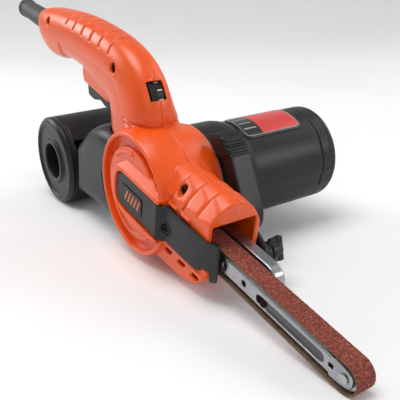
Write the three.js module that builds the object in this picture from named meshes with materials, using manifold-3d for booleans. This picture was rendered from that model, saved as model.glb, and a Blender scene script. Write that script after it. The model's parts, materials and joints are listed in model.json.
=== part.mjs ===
// Handheld narrow-belt sander: a 13 mm sanding belt on a slim arm, driven by a motor set across
// the body, with a bow handle above and a dust can behind. Millimetres.
// Tool frame: origin at the nose roller, X forward along the arm, Y towards the motor, Z up.
import * as THREE from 'three';
import { mergeVertices } from 'three/addons/utils/BufferGeometryUtils.js';
import { ParametricGeometry } from 'three/addons/geometries/ParametricGeometry.js';
import Module from 'manifold-3d';

const wasm = await Module();
wasm.setup();

// ---- driving dimensions ----
const GAP = 0.3;                 // clearance between pieces that touch
const WALL = 2.5;                // housing wall
const REST_PITCH = 12;           // degrees nose-down when the tool lies on a bench

const BELT_WIDTH = 13;
const BELT_LENGTH = 455;
const BELT_THICK = 1;
const BELT_MID_R = 8.9;          // neutral radius round both rollers
const ROLLER_CENTRES = (BELT_LENGTH - 2 * Math.PI * BELT_MID_R) / 2;
const BELT_IN_R = BELT_MID_R - BELT_THICK / 2;
const BELT_OUT_R = BELT_MID_R + BELT_THICK / 2;
const ROLLER_R = BELT_IN_R - GAP;

const MX = -ROLLER_CENTRES;      // motor axis, along Y at (MX, 0)
const CAN_R = 36.9;              // motor housing
const COLLAR_R = 39.6;
const MOTOR_END = 146.4;
const CAP_SEAM = 131;
const SHAFT_R = 4;

const DISC_Y = -17.5;            // outer face of the round body
const DISC_R = 44.1;
const DOME_Y = 34.5;             // where the body meets the motor collar
const MID_Y = 8;                 // parting plane of the two shells

const MOUTH_X = -112;            // front of the hood
const HOOD_LEFT = -12.5;
const HOOD_RIGHT = 26;

const DUST_X = -340.8;           // dust can axis, along Y at (DUST_X, DUST_Z)
const DUST_Z = -42.4;
const DUST_R = 38.2;
const DUST_END = 47;
const OUTLET_R = 15.5;

const LEVER_X = -141;            // tension lever pivot, along Y
const LEVER_Z = -2;
const KNOB_X = -109.5;            // tracking knob axis, along Y
const KNOB_Z = -8;
const TRIGGER_X = -268;          // trigger pivot, along Y
const TRIGGER_Z = 38.5;
const DIAL_X = -222.3;           // speed dial axis, along Y
const DIAL_Z = 59.4;
const DIAL_R = 14;
const DIAL_TILT = 44;            // degrees that the dial's window leans back from facing forward

const FINE = 24;                 // segments round large circles
const COARSE = 12;               // segments round small ones

const MOTOR_BORE = 34.4;         // bore of the motor housing and its cap
const STACK_Y0 = 66;             // the lamination stack
const STACK_Y1 = 112;
const END_SCREW_R = 31.6;        // end cap screws, from the motor axis
const END_SCREWS = [45, 225];
const COVER_SCREW_X = -152;
const COVER_SCREW_Z = -1;
const ARM_BOLTS = [-120, -88];
const ARM_BOLT_Z = -0.5;
const BAR_SEAT_Y = 14;           // seat of the arm bolts' heads in the support bar
const BAR_REAR = -168;
const ARM_TRAVEL = 6;            // how far the arm slides back to release the belt
const CLAMP_X = -380.5;
const CLAMP_SCREWS = [MID_Y - 6, MID_Y + 6];
const SLEEVE_LENGTH = 60;

// Shell screws: name, x, z, shank length, depth of the head's seat.
const SHELL_SCREWS = [
  ['handle', -249, 73.5, 22, -1.5],
  ['grip', -370, 72, 18, 0],
  ['hood', -150, 27.5, 22, -4.5],
];

// Handle sections: crown [x, z], underside [x, z], half width, from the dome back to the cord sleeve.
const HANDLE = [
  [[-196, 18], [-243, -6], 15],
  [[-203, 38], [-254, 8], 17],
  [[-204.5, 52], [-259, 22], 17.5],
  [[-209, 64], [-261.5, 33], 17],
  [[-219, 75.5], [-264, 41], 16.5],
  [[-235, 85], [-270, 43], 16],
  [[-256, 90], [-281, 45], 15.5],
  [[-282, 91], [-296, 48], 15.5],
  [[-310, 90], [-314, 51], 15.5],
  [[-335, 87.5], [-336, 50], 15.5],
  [[-355, 84.5], [-354, 44.5], 15],
  [[-374, 81], [-371, 42.5], 14.5],
  [[-389, 77.5], [-388, 46], 13],
  [[-401, 73.5], [-400, 52], 10.5],
];

// ---- solids ----
function solid(geometry) {
  const bare = geometry.index ? geometry.clone() : geometry;
  bare.deleteAttribute('normal');
  bare.deleteAttribute('uv');
  const merged = mergeVertices(bare, 1e-4);
  const at = merged.attributes.position;
  const triangles = [];
  let volume = 0;
  for (let i = 0; i < merged.index.count; i += 3) {
    const [a, b, c] = [0, 1, 2].map((k) => merged.index.getX(i + k));
    if (a === b || b === c || c === a) continue;
    triangles.push(a, b, c);
    const [p, q, r] = [a, b, c].map((k) => new THREE.Vector3().fromBufferAttribute(at, k));
    volume += p.dot(q.cross(r));
  }
  if (volume < 0) triangles.reverse();
  return new wasm.Manifold(new wasm.Mesh({
    numProp: 3,
    vertProperties: new Float32Array(at.array),
    triVerts: new Uint32Array(triangles),
  }));
}

function join(...pieces) {
  return pieces.reduce((whole, piece) => whole.add(piece));
}

function cut(whole, ...pieces) {
  return pieces.reduce((left, piece) => left.subtract(piece), whole);
}

const TO_X = new THREE.Matrix4().makeBasis(
  new THREE.Vector3(0, 1, 0), new THREE.Vector3(0, 0, 1), new THREE.Vector3(1, 0, 0));

function box(x0, x1, y0, y1, z0, z1) {
  const geometry = new THREE.BoxGeometry(x1 - x0, y1 - y0, z1 - z0);
  return solid(geometry.translate((x0 + x1) / 2, (y0 + y1) / 2, (z0 + z1) / 2));
}

// A solid of revolution about the line along Y through (x, z); its profile is a list of [radius, y].
function turned(x, z, profile, segments = FINE) {
  const points = profile.map(([r, y]) => new THREE.Vector2(r, y));
  return solid(new THREE.LatheGeometry(points, segments).translate(x, 0, z));
}

function rod(x, z, r, y0, y1, segments = COARSE) {
  return turned(x, z, [[0, y0], [r, y0], [r, y1], [0, y1]], segments);
}

function ring(x, z, outer, inner, y0, y1, segments = FINE) {
  return turned(x, z, [[inner, y0], [outer, y0], [outer, y1], [inner, y1], [inner, y0]], segments);
}

// An outline of corner points [a, b, radius]; a corner with a radius is rounded.
function outline(corners) {
  const shape = new THREE.Shape();
  const count = corners.length;
  corners.forEach(([a, b, radius = 0], i) => {
    const corner = new THREE.Vector2(a, b);
    const before = new THREE.Vector2(...corners[(i + count - 1) % count]).sub(corner);
    const after = new THREE.Vector2(...corners[(i + 1) % count]).sub(corner);
    before.setLength(Math.min(radius, before.length() * 0.45));
    after.setLength(Math.min(radius, after.length() * 0.45));
    const enter = radius ? before.add(corner) : corner;
    if (i === 0) shape.moveTo(enter.x, enter.y);
    else shape.lineTo(enter.x, enter.y);
    if (radius) {
      after.add(corner);
      shape.quadraticCurveTo(a, b, after.x, after.y);
    }
  });
  shape.closePath();
  return shape;
}

function alongY(shape, y0, y1, curveSegments = 6) {
  const geometry = new THREE.ExtrudeGeometry(shape, { depth: y1 - y0, bevelEnabled: false, curveSegments });
  return solid(geometry.rotateX(Math.PI / 2).translate(0, y1, 0));
}

function alongX(shape, x0, x1, curveSegments = 6) {
  const geometry = new THREE.ExtrudeGeometry(shape, { depth: x1 - x0, bevelEnabled: false, curveSegments });
  return solid(geometry.applyMatrix4(TO_X).translate(x0, 0, 0));
}

function alongZ(shape, z0, z1, curveSegments = 6) {
  const geometry = new THREE.ExtrudeGeometry(shape, { depth: z1 - z0, bevelEnabled: false, curveSegments });
  return solid(geometry.translate(0, 0, z0));
}

// A slot outline with round ends between two points of the plane.
function slot(a0, b0, a1, b1, radius) {
  const shape = new THREE.Shape();
  const angle = Math.atan2(b1 - b0, a1 - a0);
  shape.absarc(a0, b0, radius, angle + Math.PI / 2, angle + Math.PI * 1.5);
  shape.absarc(a1, b1, radius, angle - Math.PI / 2, angle + Math.PI / 2);
  shape.closePath();
  return shape;
}

// A loft whose ring at t runs through ringAt(t, angle); both ends close on their centres.
function loft(ringAt, rings, segments) {
  const sections = rings + 2;
  const at = (u, v, target) => {
    const step = u * sections;
    const t = THREE.MathUtils.clamp((step - 1) / rings, 0, 1);
    const closed = step < 0.5 || step > sections - 0.5;
    const angle = Math.round(v * segments) % segments * 2 * Math.PI / segments;
    ringAt(t, angle, closed, target);
  };
  return solid(new ParametricGeometry(at, sections, segments));
}

// ---- orange housing ----
function handleLoft(inset) {
  const curveOf = (pick) => new THREE.CatmullRomCurve3(HANDLE.map(pick), false, 'centripetal');
  const crown = curveOf(([[x, z]]) => new THREE.Vector3(x, 0, z));
  const under = curveOf(([, [x, z]]) => new THREE.Vector3(x, 0, z));
  const width = curveOf(([, , w], i) => new THREE.Vector3(w, 0, i * 0.001));
  const squareness = 2 / 2.7;
  const round = (value) => Math.sign(value) * Math.abs(value) ** squareness;
  return loft((t, angle, closed, target) => {
    const end = inset > 0 ? t * 0.97 : t;
    const top = crown.getPoint(end);
    const low = under.getPoint(end);
    const centre = top.clone().add(low).multiplyScalar(0.5);
    const reach = top.clone().sub(low).multiplyScalar(0.5);
    reach.setLength(reach.length() - inset);
    const half = width.getPoint(end).x - inset;
    const size = closed ? 0 : 1;
    target.copy(centre).addScaledVector(reach, size * round(Math.sin(angle)));
    target.y = MID_Y + size * half * round(Math.cos(angle));
  }, inset > 0 ? 9 : 16, inset > 0 ? 10 : 14);
}

function dome(inset) {
  const far = inset ? DOME_Y + 1 : DOME_Y;
  return turned(MX, 0, [
    [0, DISC_Y + inset], [DISC_R - 1 - inset, DISC_Y + inset], [DISC_R - inset, DISC_Y + 1 + inset],
    [46 - inset, -8], [46.2 - inset, 5], [44.8 - inset, 18], [42.8 - inset, 28], [40.8 - inset, far],
    [0, far],
  ], FINE);
}

// The nose of the body: a stepped hood over the belt and a pointed guard below it.
function hood(inset) {
  const steps = inset ? [[-200, MOUTH_X - WALL, -4.5]] : [
    [-196, -168, -3.5], [-169, -153, -1.6], [-154, -138, -0.6], [-139, -124, -0.2], [-125, MOUTH_X, 0],
  ];
  const bands = steps.map(([x0, x1, drop]) => alongX(outline([
    [HOOD_LEFT + inset, -8], [HOOD_LEFT + inset, 25 + drop, 3], [-5 + inset / 2, 33.5 + drop, 5],
    [4.5, 37 + drop, 5], [13, 35.8 + drop, 5], [20, 30 + drop, 5],
    [HOOD_RIGHT + 1 - inset, 18.5 + drop, 5], [HOOD_RIGHT - inset, -8],
  ]), x0, x1, 3));
  const guard = alongY(outline([
    [-199, -43.5 + inset], [-172, -34 + inset, 4], [-140, -32 + inset, 6], [-122, -26.5 + inset, 5],
    [MOUTH_X + 1.2 - inset * 0.6, -15 + inset], [MOUTH_X + 1.2 + (inset ? 2 : 0), -7], [-199, -7],
  ]), HOOD_LEFT + inset, HOOD_RIGHT - inset, 3);
  return join(...bands, guard);
}

function screwWell(x, z, headR, bottom) {
  return rod(x, z, headR, -40, bottom, 12);
}

function housingShape() {
  const beak = alongY(outline([
    [-308, 56], [-309.5, 49], [-305.5, 41.8, 1], [-262, 40, 3], [-256, 56],
  ]), MID_Y - 12, MID_Y + 12);
  const outer = join(dome(0), handleLoft(0), hood(0), beak);
  const inner = join(dome(WALL), handleLoft(WALL), hood(WALL));
  let body = cut(outer, inner);
  const bulkhead = cut(
    rod(MX, 0, 43, MID_Y + 2, MID_Y + 4.5, FINE),
    ring(MX, 0, 26, 18, 0, 30, 32),
    box(BAR_REAR - ARM_TRAVEL - 1, MX + 60, 0, 30, -9.6, 9.6),
  );
  const spokes = join(...[30, 150, 270].map((degrees) => {
    const web = box(MX + 10, MX + 30, MID_Y + 2, MID_Y + 4.5, -2.5, 2.5);
    return web.translate([-MX, 0, 0]).rotate([0, degrees, 0]).translate([MX, 0, 0]);
  }));
  const seat = ring(MX, 0, 14, 11 + GAP, MID_Y + 2, MID_Y + 10, 32);
  const bosses = SHELL_SCREWS.map(([, x, z, , bottom]) => rod(x, z, 4.4, bottom - 2.5, MID_Y + 16, 12));
  const trimmedBosses = bosses.map((boss) => boss.intersect(outer));
  body = join(body, bulkhead.intersect(outer), spokes, seat, ...trimmedBosses);
  const trigger = box(-315, -262.5, MID_Y - 8, MID_Y + 8, 30, 56.5);
  const dial = join(
    box(6, 30, MID_Y - 6.2, MID_Y + 6.2, -7.5, 7.5),
    rod(0, 0, DIAL_R + 1, MID_Y - 7, MID_Y + 7),
  ).rotate([0, -DIAL_TILT, 0]).translate([DIAL_X, 0, DIAL_Z]);
  const sleeveHole = alongSleeve([[0, -2], [10, -2], [10, 3.2], [7.8, 3.2], [7.8, 20], [0, 20]]);
  const coverWay = box(-211, -104, -20, HOOD_LEFT + WALL + 4, -8.7, 11.7);
  const mouth = box(-125, -105, -9.6, 22.8, -40, 22);
  const beltWay = box(-150, -105, -9.6, HOOD_RIGHT - WALL, -17, -5);
  const ductPort = box(-262, MX - 20, MID_Y + 8, MID_Y + 22, -30, 2);
  const shaftWay = rod(MX, 0, SHAFT_R + 1, -30, 60, COARSE);
  const bearingWay = rod(MX, 0, 11 + GAP, MID_Y + 2.6, MID_Y + 12, 32);
  const slots = [-160, -144, -128].map((x) => box(x, x + 11, -20, 3, -22.5, -18.5));
  const wells = SHELL_SCREWS.map(([, x, z, , bottom]) => screwWell(x, z, 3.4, bottom));
  const shanks = SHELL_SCREWS.map(([, x, z, length, bottom]) => (
    rod(x, z, 1.5 + GAP, bottom - 1, bottom + length, 10)));
  const bridge = box(-157, -147, HOOD_LEFT + 0.2, HOOD_LEFT + 3.2, -10, 12.5);
  const bridgeHole = rod(COVER_SCREW_X, COVER_SCREW_Z, 1.5 + GAP, -30, 0, 16);
  body = cut(body, trigger, dial, sleeveHole, coverWay, mouth, beltWay, ductPort, shaftWay, bearingWay);
  body = cut(body, ...slots, ...wells, ...shanks);
  return join(body, cut(bridge, bridgeHole));
}

function shells() {
  const body = housingShape();
  const left = body.subtract(box(-500, 50, MID_Y - GAP / 2, 100, -100, 150));
  const right = body.subtract(box(-500, 50, -100, MID_Y + GAP / 2, -100, 150));
  return [largest(left), largest(right)];
}

function largest(whole) {
  return whole.decompose().sort((a, b) => b.volume() - a.volume())[0];
}

function shellScrew([, x, z, length, bottom]) {
  const head = rod(x, z, 3, bottom - 2.4, bottom - GAP, 12);
  const shank = rod(x, z, 1.5, bottom - GAP - 0.1, bottom + length - 1, 10);
  const drive = join(box(-0.45, 0.45, -9, bottom - 1.4, -2, 2), box(-2, 2, -9, bottom - 1.4, -0.45, 0.45));
  return cut(join(head, shank), drive.translate([x, 0, z]));
}

// ---- belt cover ----
function beltCover() {
  const rear = alongY(outline([
    [-215, -12, 11], [-215, 15, 11], [-158, 15], [-158, -12],
  ]), -20.3, DISC_Y - GAP);
  const front = alongY(outline([
    [-166, -11.5], [-166, 14.2], [-103, 14, 2], [-103, -12, 2],
  ]), -16.4, HOOD_LEFT - GAP);
  const step = alongZ(outline([
    [-164, -20.3], [-158, -20.3], [-154, -16.4], [-154, HOOD_LEFT - GAP], [-164, HOOD_LEFT - GAP],
  ]), -12, 14.5);
  const lip = alongX(outline([
    [-16.4, -11.5], [-16.4, 14, 2], [-8.6, 14], [-8.6, -16, 3], [-12, -18, 2],
  ]), MOUTH_X + 2 + GAP, -103);
  const hollow = join(
    rod(COVER_SCREW_X, COVER_SCREW_Z, 1.5 + GAP, -30, 0, 16),
    rod(COVER_SCREW_X, COVER_SCREW_Z, 4, -30, -14.8, COARSE),
    box(-205.4, -178.6, -21, -19.7, -6.4, 7.4),
  );
  const body = cut(join(rear, front, step, lip), dome(-GAP), hollow);
  return largest(body);
}

function beltCoverScrew() {
  const head = rod(COVER_SCREW_X, COVER_SCREW_Z, 3.4, -16.6, -15, COARSE);
  const shank = rod(COVER_SCREW_X, COVER_SCREW_Z, 1.5, -15.2, -10, 16);
  const drive = join(box(-0.5, 0.5, -20, -15.9, -2.2, 2.2), box(-2.2, 2.2, -20, -15.9, -0.5, 0.5));
  return cut(join(head, shank), drive.translate([COVER_SCREW_X, 0, COVER_SCREW_Z]));
}

function badgePlate() {
  const plate = outline([[-205, -6, 1.5], [-205, 7, 1.5], [-179, 7, 1.5], [-179, -6, 1.5]]);
  return alongY(plate, -20.9, -20);
}

// ---- motor ----
function motorHousing() {
  const neckR = SHAFT_R + 7 + GAP;
  const shellBody = turned(MX, 0, [
    [neckR, DOME_Y + GAP], [COLLAR_R, DOME_Y + GAP], [COLLAR_R, 56], [38.6, 61], [CAN_R, 66],
    [CAN_R, CAP_SEAM - GAP], [MOTOR_BORE, CAP_SEAM - GAP], [MOTOR_BORE, DOME_Y + 3],
    [neckR, DOME_Y + 3], [neckR, DOME_Y + GAP],
  ]);
  const vents = [0, 60, 120, 180, 240, 300].map((degrees) => (
    box(16, 28, 20, 50, -4, 4).rotate([0, degrees, 0]).translate([MX, 0, 0])));
  const flat = box(MX + CAN_R - 1.2, MX + 60, 66, 200, -60, -0.5);
  const seam = box(MX + CAN_R - 0.7, MX + 60, 66, 200, -1, 0);
  const screwBosses = END_SCREWS.map((degrees) => (
    ring(END_SCREW_R, 0, 3.6, 1.5 + GAP, 116, CAP_SEAM - GAP, 12)
      .rotate([0, degrees, 0]).translate([MX, 0, 0])));
  const coreSeat = ring(MX, 0, 35, 29.5, STACK_Y0 - 3, STACK_Y0 - GAP);
  return largest(cut(join(cut(shellBody, ...vents), coreSeat, ...screwBosses), flat, seam));
}

function motorEndCap() {
  const cap = turned(MX, 0, [
    [MOTOR_BORE, CAP_SEAM], [CAN_R, CAP_SEAM], [CAN_R, 141], [34.8, 145], [32.5, MOTOR_END], [0, MOTOR_END],
    [0, 144], [14, 144], [14, 137], [11 + GAP, 137], [11 + GAP, 133], [14.5, 133], [14.5, 141], [30, 142.4],
    [MOTOR_BORE, 139], [MOTOR_BORE, CAP_SEAM],
  ]);
  const vents = [-60, -20, 20, 60, 120, 160, 200, 240].map((degrees) => (
    box(18, 27, 138, 160, -2, 2).rotate([0, degrees + 10, 0]).translate([MX, 0, 0])));
  const bosses = END_SCREWS.map((degrees) => (
    rod(END_SCREW_R, 0, 3.6, CAP_SEAM, 142.5, 12).rotate([0, degrees, 0]).translate([MX, 0, 0])));
  const ways = END_SCREWS.map((degrees) => (
    join(rod(END_SCREW_R, 0, 1.5 + GAP, 100, 160, 12), rod(END_SCREW_R, 0, 3 + GAP, 143.4, 160, 12))
      .rotate([0, degrees, 0]).translate([MX, 0, 0])));
  const flat = box(MX + CAN_R - 1.2, MX + 60, 66, 200, -60, -0.5);
  return largest(cut(join(cap, ...bosses), ...vents, ...ways, flat));
}

function endCapScrew(degrees) {
  const screw = join(
    rod(END_SCREW_R, 0, 3, 143.4 + GAP, 145.6, 12),
    rod(END_SCREW_R, 0, 1.5, 118, 143.8, 12),
  );
  return screw.rotate([0, degrees, 0]).translate([MX, 0, 0]);
}

function statorCore() {
  const yoke = ring(MX, 0, MOTOR_BORE - GAP, 28, STACK_Y0, STACK_Y1, FINE);
  const poles = join(
    box(MX - 11.5, MX + 11.5, STACK_Y0, STACK_Y1, 15, 30),
    box(MX - 11.5, MX + 11.5, STACK_Y0, STACK_Y1, -30, -15),
  );
  return cut(join(yoke, poles), rod(MX, 0, 19.2, 0, 200, FINE));
}

// Two flat loops of winding, one round each pole.
function fieldCoils() {
  const half = 18;
  const inside = 12;
  const front = STACK_Y0 - 0.5;
  const back = STACK_Y1 + 0.5;
  const loop = outline([
    [MX - half, STACK_Y0 - 8, 6], [MX + half, STACK_Y0 - 8, 6],
    [MX + half, STACK_Y1 + 8, 6], [MX - half, STACK_Y1 + 8, 6],
  ]);
  loop.holes.push(outline([
    [MX - inside, front], [MX + inside, front], [MX + inside, back], [MX - inside, back],
  ]));
  return [alongZ(loop, 15.4, 21), alongZ(loop, -21, -15.4)];
}

function armatureCore() {
  const teeth = new THREE.Shape();
  const count = 12;
  const tooth = [[12.5, -0.21], [17.2, -0.19], [18.5, -0.235], [18.5, 0.235], [17.2, 0.19], [12.5, 0.21]];
  const corners = Array.from({ length: count }, (_, i) => tooth.map(([radius, turn]) => {
    const angle = i * 2 * Math.PI / count + turn;
    return new THREE.Vector2(MX + radius * Math.cos(angle), radius * Math.sin(angle));
  })).flat();
  teeth.setFromPoints(corners);
  return cut(alongY(teeth, STACK_Y0 + 1, STACK_Y1 - 1), rod(MX, 0, SHAFT_R + GAP, 0, 200));
}

function armatureWinding(y0, y1) {
  const lip = 1.5 * Math.sign(y1 - y0);
  return turned(MX, 0, [
    [SHAFT_R + 1, y0], [14.4, y0], [15, y0 + lip], [14.2, y1 - 2 * lip], [11, y1], [SHAFT_R + 1, y1],
    [SHAFT_R + 1, y0],
  ], 24);
}

function commutator() {
  const bars = 12;
  const body = ring(MX, 0, 11, SHAFT_R + GAP, 121.5, 131.5, 24);
  const slits = Array.from({ length: bars }, (_, i) => (
    box(9.8, 12, 121, 133, -0.35, 0.35).rotate([0, i * 360 / bars, 0]).translate([MX, 0, 0])));
  return cut(body, ...slits);
}

function motorShaft() {
  return turned(MX, 0, [
    [0, -8.4], [SHAFT_R - 1, -8.4], [SHAFT_R - 1, 7.5], [SHAFT_R, 7.5], [SHAFT_R, 143], [0, 143],
  ], COARSE);
}

function ballBearing(y0, y1) {
  return turned(MX, 0, [
    [SHAFT_R + GAP, y0], [6.6, y0], [6.6, y0 + 0.6], [8.6, y0 + 0.6], [8.6, y0], [11, y0], [11, y1],
    [SHAFT_R + GAP, y1], [SHAFT_R + GAP, y0],
  ], COARSE);
}

function bladedWheel(y0, y1, hubR, tipR, blades) {
  const back = ring(MX, 0, tipR, SHAFT_R + GAP, y0, y0 + 1.6, 24);
  const hub = ring(MX, 0, hubR, SHAFT_R + GAP, y0, y1, COARSE);
  const fins = Array.from({ length: blades }, (_, i) => (
    box(hubR - 1, tipR - 1, y0 + 1, y1 - 1, -0.8, 0.8)
      .rotate([0, i * 360 / blades, 0]).translate([MX, 0, 0])));
  return join(back, hub, ...fins);
}

function brushHolder(side) {
  const tube = box(13, 31, 123, 130.5, -5, 5);
  const foot = box(26, 31, 129.5, 131.5, -8, 8);
  const brushWay = box(12, 32, 124.3, 129.2, -3.6, 3.6);
  return cut(join(tube, foot), brushWay).scale([side, 1, 1]).translate([MX, 0, 0]);
}

function carbonBrush(side) {
  const block = cut(box(11, 26, 124.6, 128.9, -3.3, 3.3), rod(0, 0, 11 + GAP, 100, 150, 24));
  return block.scale([side, 1, 1]).translate([MX, 0, 0]);
}

// ---- belt drive and arm ----
function sandingBelt() {
  const loop = slot(MX, 0, 0, 0, BELT_OUT_R);
  loop.holes.push(slot(MX, 0, 0, 0, BELT_IN_R));
  return alongY(loop, -BELT_WIDTH / 2, BELT_WIDTH / 2, 12);
}

function driveRoller() {
  return turned(MX, 0, [
    [SHAFT_R - 1 + GAP, -6.8], [ROLLER_R - 0.4, -6.8], [ROLLER_R, -3], [ROLLER_R, 3], [ROLLER_R - 0.4, 6.8],
    [SHAFT_R - 1 + GAP, 6.8], [SHAFT_R - 1 + GAP, -6.8],
  ], 40);
}

function noseRoller() {
  return turned(0, 0, [
    [2.2, -3.9], [ROLLER_R - 0.3, -3.9], [ROLLER_R, -2], [ROLLER_R, 2], [ROLLER_R - 0.3, 3.9], [2.2, 3.9],
    [2.2, -3.9],
  ], 24);
}

function noseAxle() {
  const pin = rod(0, 0, 1.7, -6.5, 6.5);
  return join(pin, rod(0, 0, 2.9, -7, -6 - GAP), rod(0, 0, 2.9, 6 + GAP, 7));
}

// A channel whose two cheeks carry the nose roller and whose top web backs the working run of the belt.
function armBar() {
  const side = outline([
    [-152, -6.5, 2], [-152, 7.4, 2], [-12, 7.4], [-3, 6.2, 3], [5.5, 4.5, 4], [5.5, -4.5, 4], [-3, -6.2, 3],
    [-14, -6.8], [-60, -6.8],
  ]);
  const bar = alongY(side, -6, 6);
  const slotWay = box(-14, 20, -4.3, 4.3, -20, 20);
  const trough = box(-145, -13.9, -4.3, 4.3, -20, 5.9);
  const groove = alongY(slot(-66, -0.8, -18, -0.5, 3), -8, -5.2);
  const holes = [
    rod(-102, 0, 2, -10, -3), rod(-83, 0, 2.2, -10, -3), rod(0, 0, 1.7 + GAP, -20, 20),
    box(-11.5, -8, -10, -3, -1.8, 1.6),
    alongY(slot(-68, -0.8, -65, -0.8, 3), -10, -3),
  ];
  const boltWays = ARM_BOLTS.map((x) => rod(x, ARM_BOLT_Z, 2 + GAP, 3, 8, 16));
  return cut(bar, slotWay, trough, groove, ...holes, ...boltWays);
}

// The bright bar beside the belt that carries the arm; its front end turns down in a round nose.
function supportBar() {
  const side = outline([
    [BAR_REAR, -7, 1], [BAR_REAR, 8.8, 1], [-78, 8.8, 6], [-72, 4, 8], [-72, -9, 8], [-88, -10, 8], [-94, -6],
  ]);
  const bar = alongY(side, 9.6, 16.6);
  const pads = ARM_BOLTS.map((x) => rod(x, ARM_BOLT_Z, 4.6, 6 + GAP, 10, 20));
  const ways = ARM_BOLTS.map((x) => join(
    rod(x, ARM_BOLT_Z, 2 + GAP, 0, 30, 16),
    rod(x, ARM_BOLT_Z, 4 + GAP, BAR_SEAT_Y, 30, 20),
  ));
  return cut(join(bar, ...pads), ...ways);
}

function armBolt(x) {
  const head = rod(x, ARM_BOLT_Z, 4, BAR_SEAT_Y + GAP, 16.8, 20);
  return join(head, rod(x, ARM_BOLT_Z, 2, 4.4, 15, 16));
}

function coilSpring(from, to, coilR, wireR, turns) {
  const axis = new THREE.Vector3().subVectors(to, from);
  const across = new THREE.Vector3(0, 1, 0).cross(axis).normalize();
  const up = new THREE.Vector3().crossVectors(axis, across).normalize();
  const points = [];
  const perTurn = 8;
  for (let i = 0; i <= turns * perTurn; i += 1) {
    const angle = i * 2 * Math.PI / perTurn;
    points.push(from.clone().addScaledVector(axis, i / (turns * perTurn))
      .addScaledVector(across, coilR * Math.cos(angle)).addScaledVector(up, coilR * Math.sin(angle)));
  }
  const wire = new THREE.Shape();
  wire.absarc(0, 0, wireR, 0, 2 * Math.PI);
  return solid(new THREE.ExtrudeGeometry(wire, {
    steps: turns * perTurn, extrudePath: new THREE.CatmullRomCurve3(points), curveSegments: 2,
  }));
}

function tensionSpring() {
  return coilSpring(new THREE.Vector3(-184, 17.5, 0), new THREE.Vector3(-168.8, 17.5, 0), 3, 0.6, 5);
}

function tensionBracket() {
  const plate = alongY(outline([
    [-156, -14, 4], [-156, 10, 5], [-141, 13, 8], [-116, 6, 8], [-102, -2, 5], [-102, -15, 5],
    [-124, -18, 5],
  ]), HOOD_RIGHT + 1 + GAP, 35);
  return cut(plate, rod(LEVER_X, LEVER_Z, 3 + GAP, 0, 60), rod(KNOB_X, KNOB_Z, 3 + GAP, 0, 60));
}

// The ribbed quick-release lever: a round hub, a tapering arm and a thumb pad that leans over the motor.
function tensionLever() {
  const width0 = 37;
  const width1 = 50;
  const profile = outline([
    [LEVER_X - 8.5, LEVER_Z - 2, 6], [LEVER_X - 2, LEVER_Z - 9.5, 6], [LEVER_X + 7, LEVER_Z - 7, 6],
    [LEVER_X + 8, LEVER_Z + 5, 6], [-140, 14, 6], [-158, 40.5, 4], [-168, 49.5, 4], [-182, 44, 3],
    [-176, 35, 3], [-166, 33, 4], [-149, 10, 8],
  ]);
  const pad = new THREE.CatmullRomCurve3([
    new THREE.Vector3(-159, 0, 39.8), new THREE.Vector3(-168.5, 0, 48), new THREE.Vector3(-180, 0, 43.6),
  ]);
  const ribs = Array.from({ length: 6 }, (_, i) => {
    const { x, z } = pad.getPointAt(i / 5);
    return rod(x, z, 1.5, width0, width1, 8);
  });
  const body = join(alongY(profile, width0, width1), ...ribs);
  return cut(body, rod(LEVER_X, LEVER_Z, 3 + GAP, 0, 80));
}

function leverPin() {
  return join(rod(LEVER_X, LEVER_Z, 3, 28, 50.4), rod(LEVER_X, LEVER_Z, 4.6, 50 + GAP, 51.8));
}

function trackingKnob() {
  const hub = join(rod(KNOB_X, KNOB_Z, 6, 35 + GAP, 39), rod(KNOB_X, KNOB_Z, 3, 28.5, 36));
  const wing = join(box(-1.5, 1.5, 37, 46, -8, 8), box(-2.2, 2.2, 42.5, 46.4, -8.4, 8.4));
  const stem = rod(KNOB_X, KNOB_Z, 4, 38, 45.5);
  return join(hub, wing.rotate([0, -20, 0]).translate([KNOB_X, 0, KNOB_Z]), stem);
}

// ---- dust extraction ----
function dustDuct() {
  const shape = (inset) => outline([
    [-306, -54 + inset], [-252, -45.5 + inset, 3], [-226, -42.5 + inset], [-226, 27 - inset],
    [-256, 29 - inset, 12], [-284, 18 - inset, 14], [-306, -4 - inset],
  ]);
  const tube = cut(alongY(shape(0), DISC_Y + 2.5, 27), alongY(shape(WALL), DISC_Y + 2.5 + WALL, 27 - WALL));
  return largest(cut(tube, dome(-GAP), handleLoft(-GAP), rod(DUST_X, DUST_Z, DUST_R + GAP, -60, 90, FINE)));
}

function dustCan() {
  const can = turned(DUST_X, DUST_Z, [
    [DUST_R, -12], [DUST_R, DUST_END - 3], [DUST_R - 3, DUST_END], [0, DUST_END], [0, DUST_END - WALL],
    [DUST_R - 4, DUST_END - WALL], [DUST_R - WALL, DUST_END - 5], [DUST_R - WALL, -12], [DUST_R, -12],
  ]);
  return cut(can, box(DUST_X + 10, DUST_X + 60, -8, 20, -44, -14));
}

function dustCanCover() {
  const face = DISC_Y;
  return turned(DUST_X, DUST_Z, [
    [DUST_R, -12 - GAP], [DUST_R, face + 2.6], [DUST_R - 2.8, face], [DUST_R - 5.5, face],
    [DUST_R - 6.5, face + 1.6], [OUTLET_R + 4.6, face + 1.6], [OUTLET_R + 3.6, face - 0.6],
    [OUTLET_R + 0.8, face - 0.6], [OUTLET_R, face],
    [OUTLET_R, 16], [OUTLET_R + 1.8, 16], [OUTLET_R + 1.8, face + 4.2], [DUST_R - WALL - 2, face + 4.2],
    [DUST_R - WALL - 2, -9], [DUST_R - WALL - GAP, -9], [DUST_R - WALL - GAP, -12 - GAP],
    [DUST_R, -12 - GAP],
  ]);
}

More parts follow.
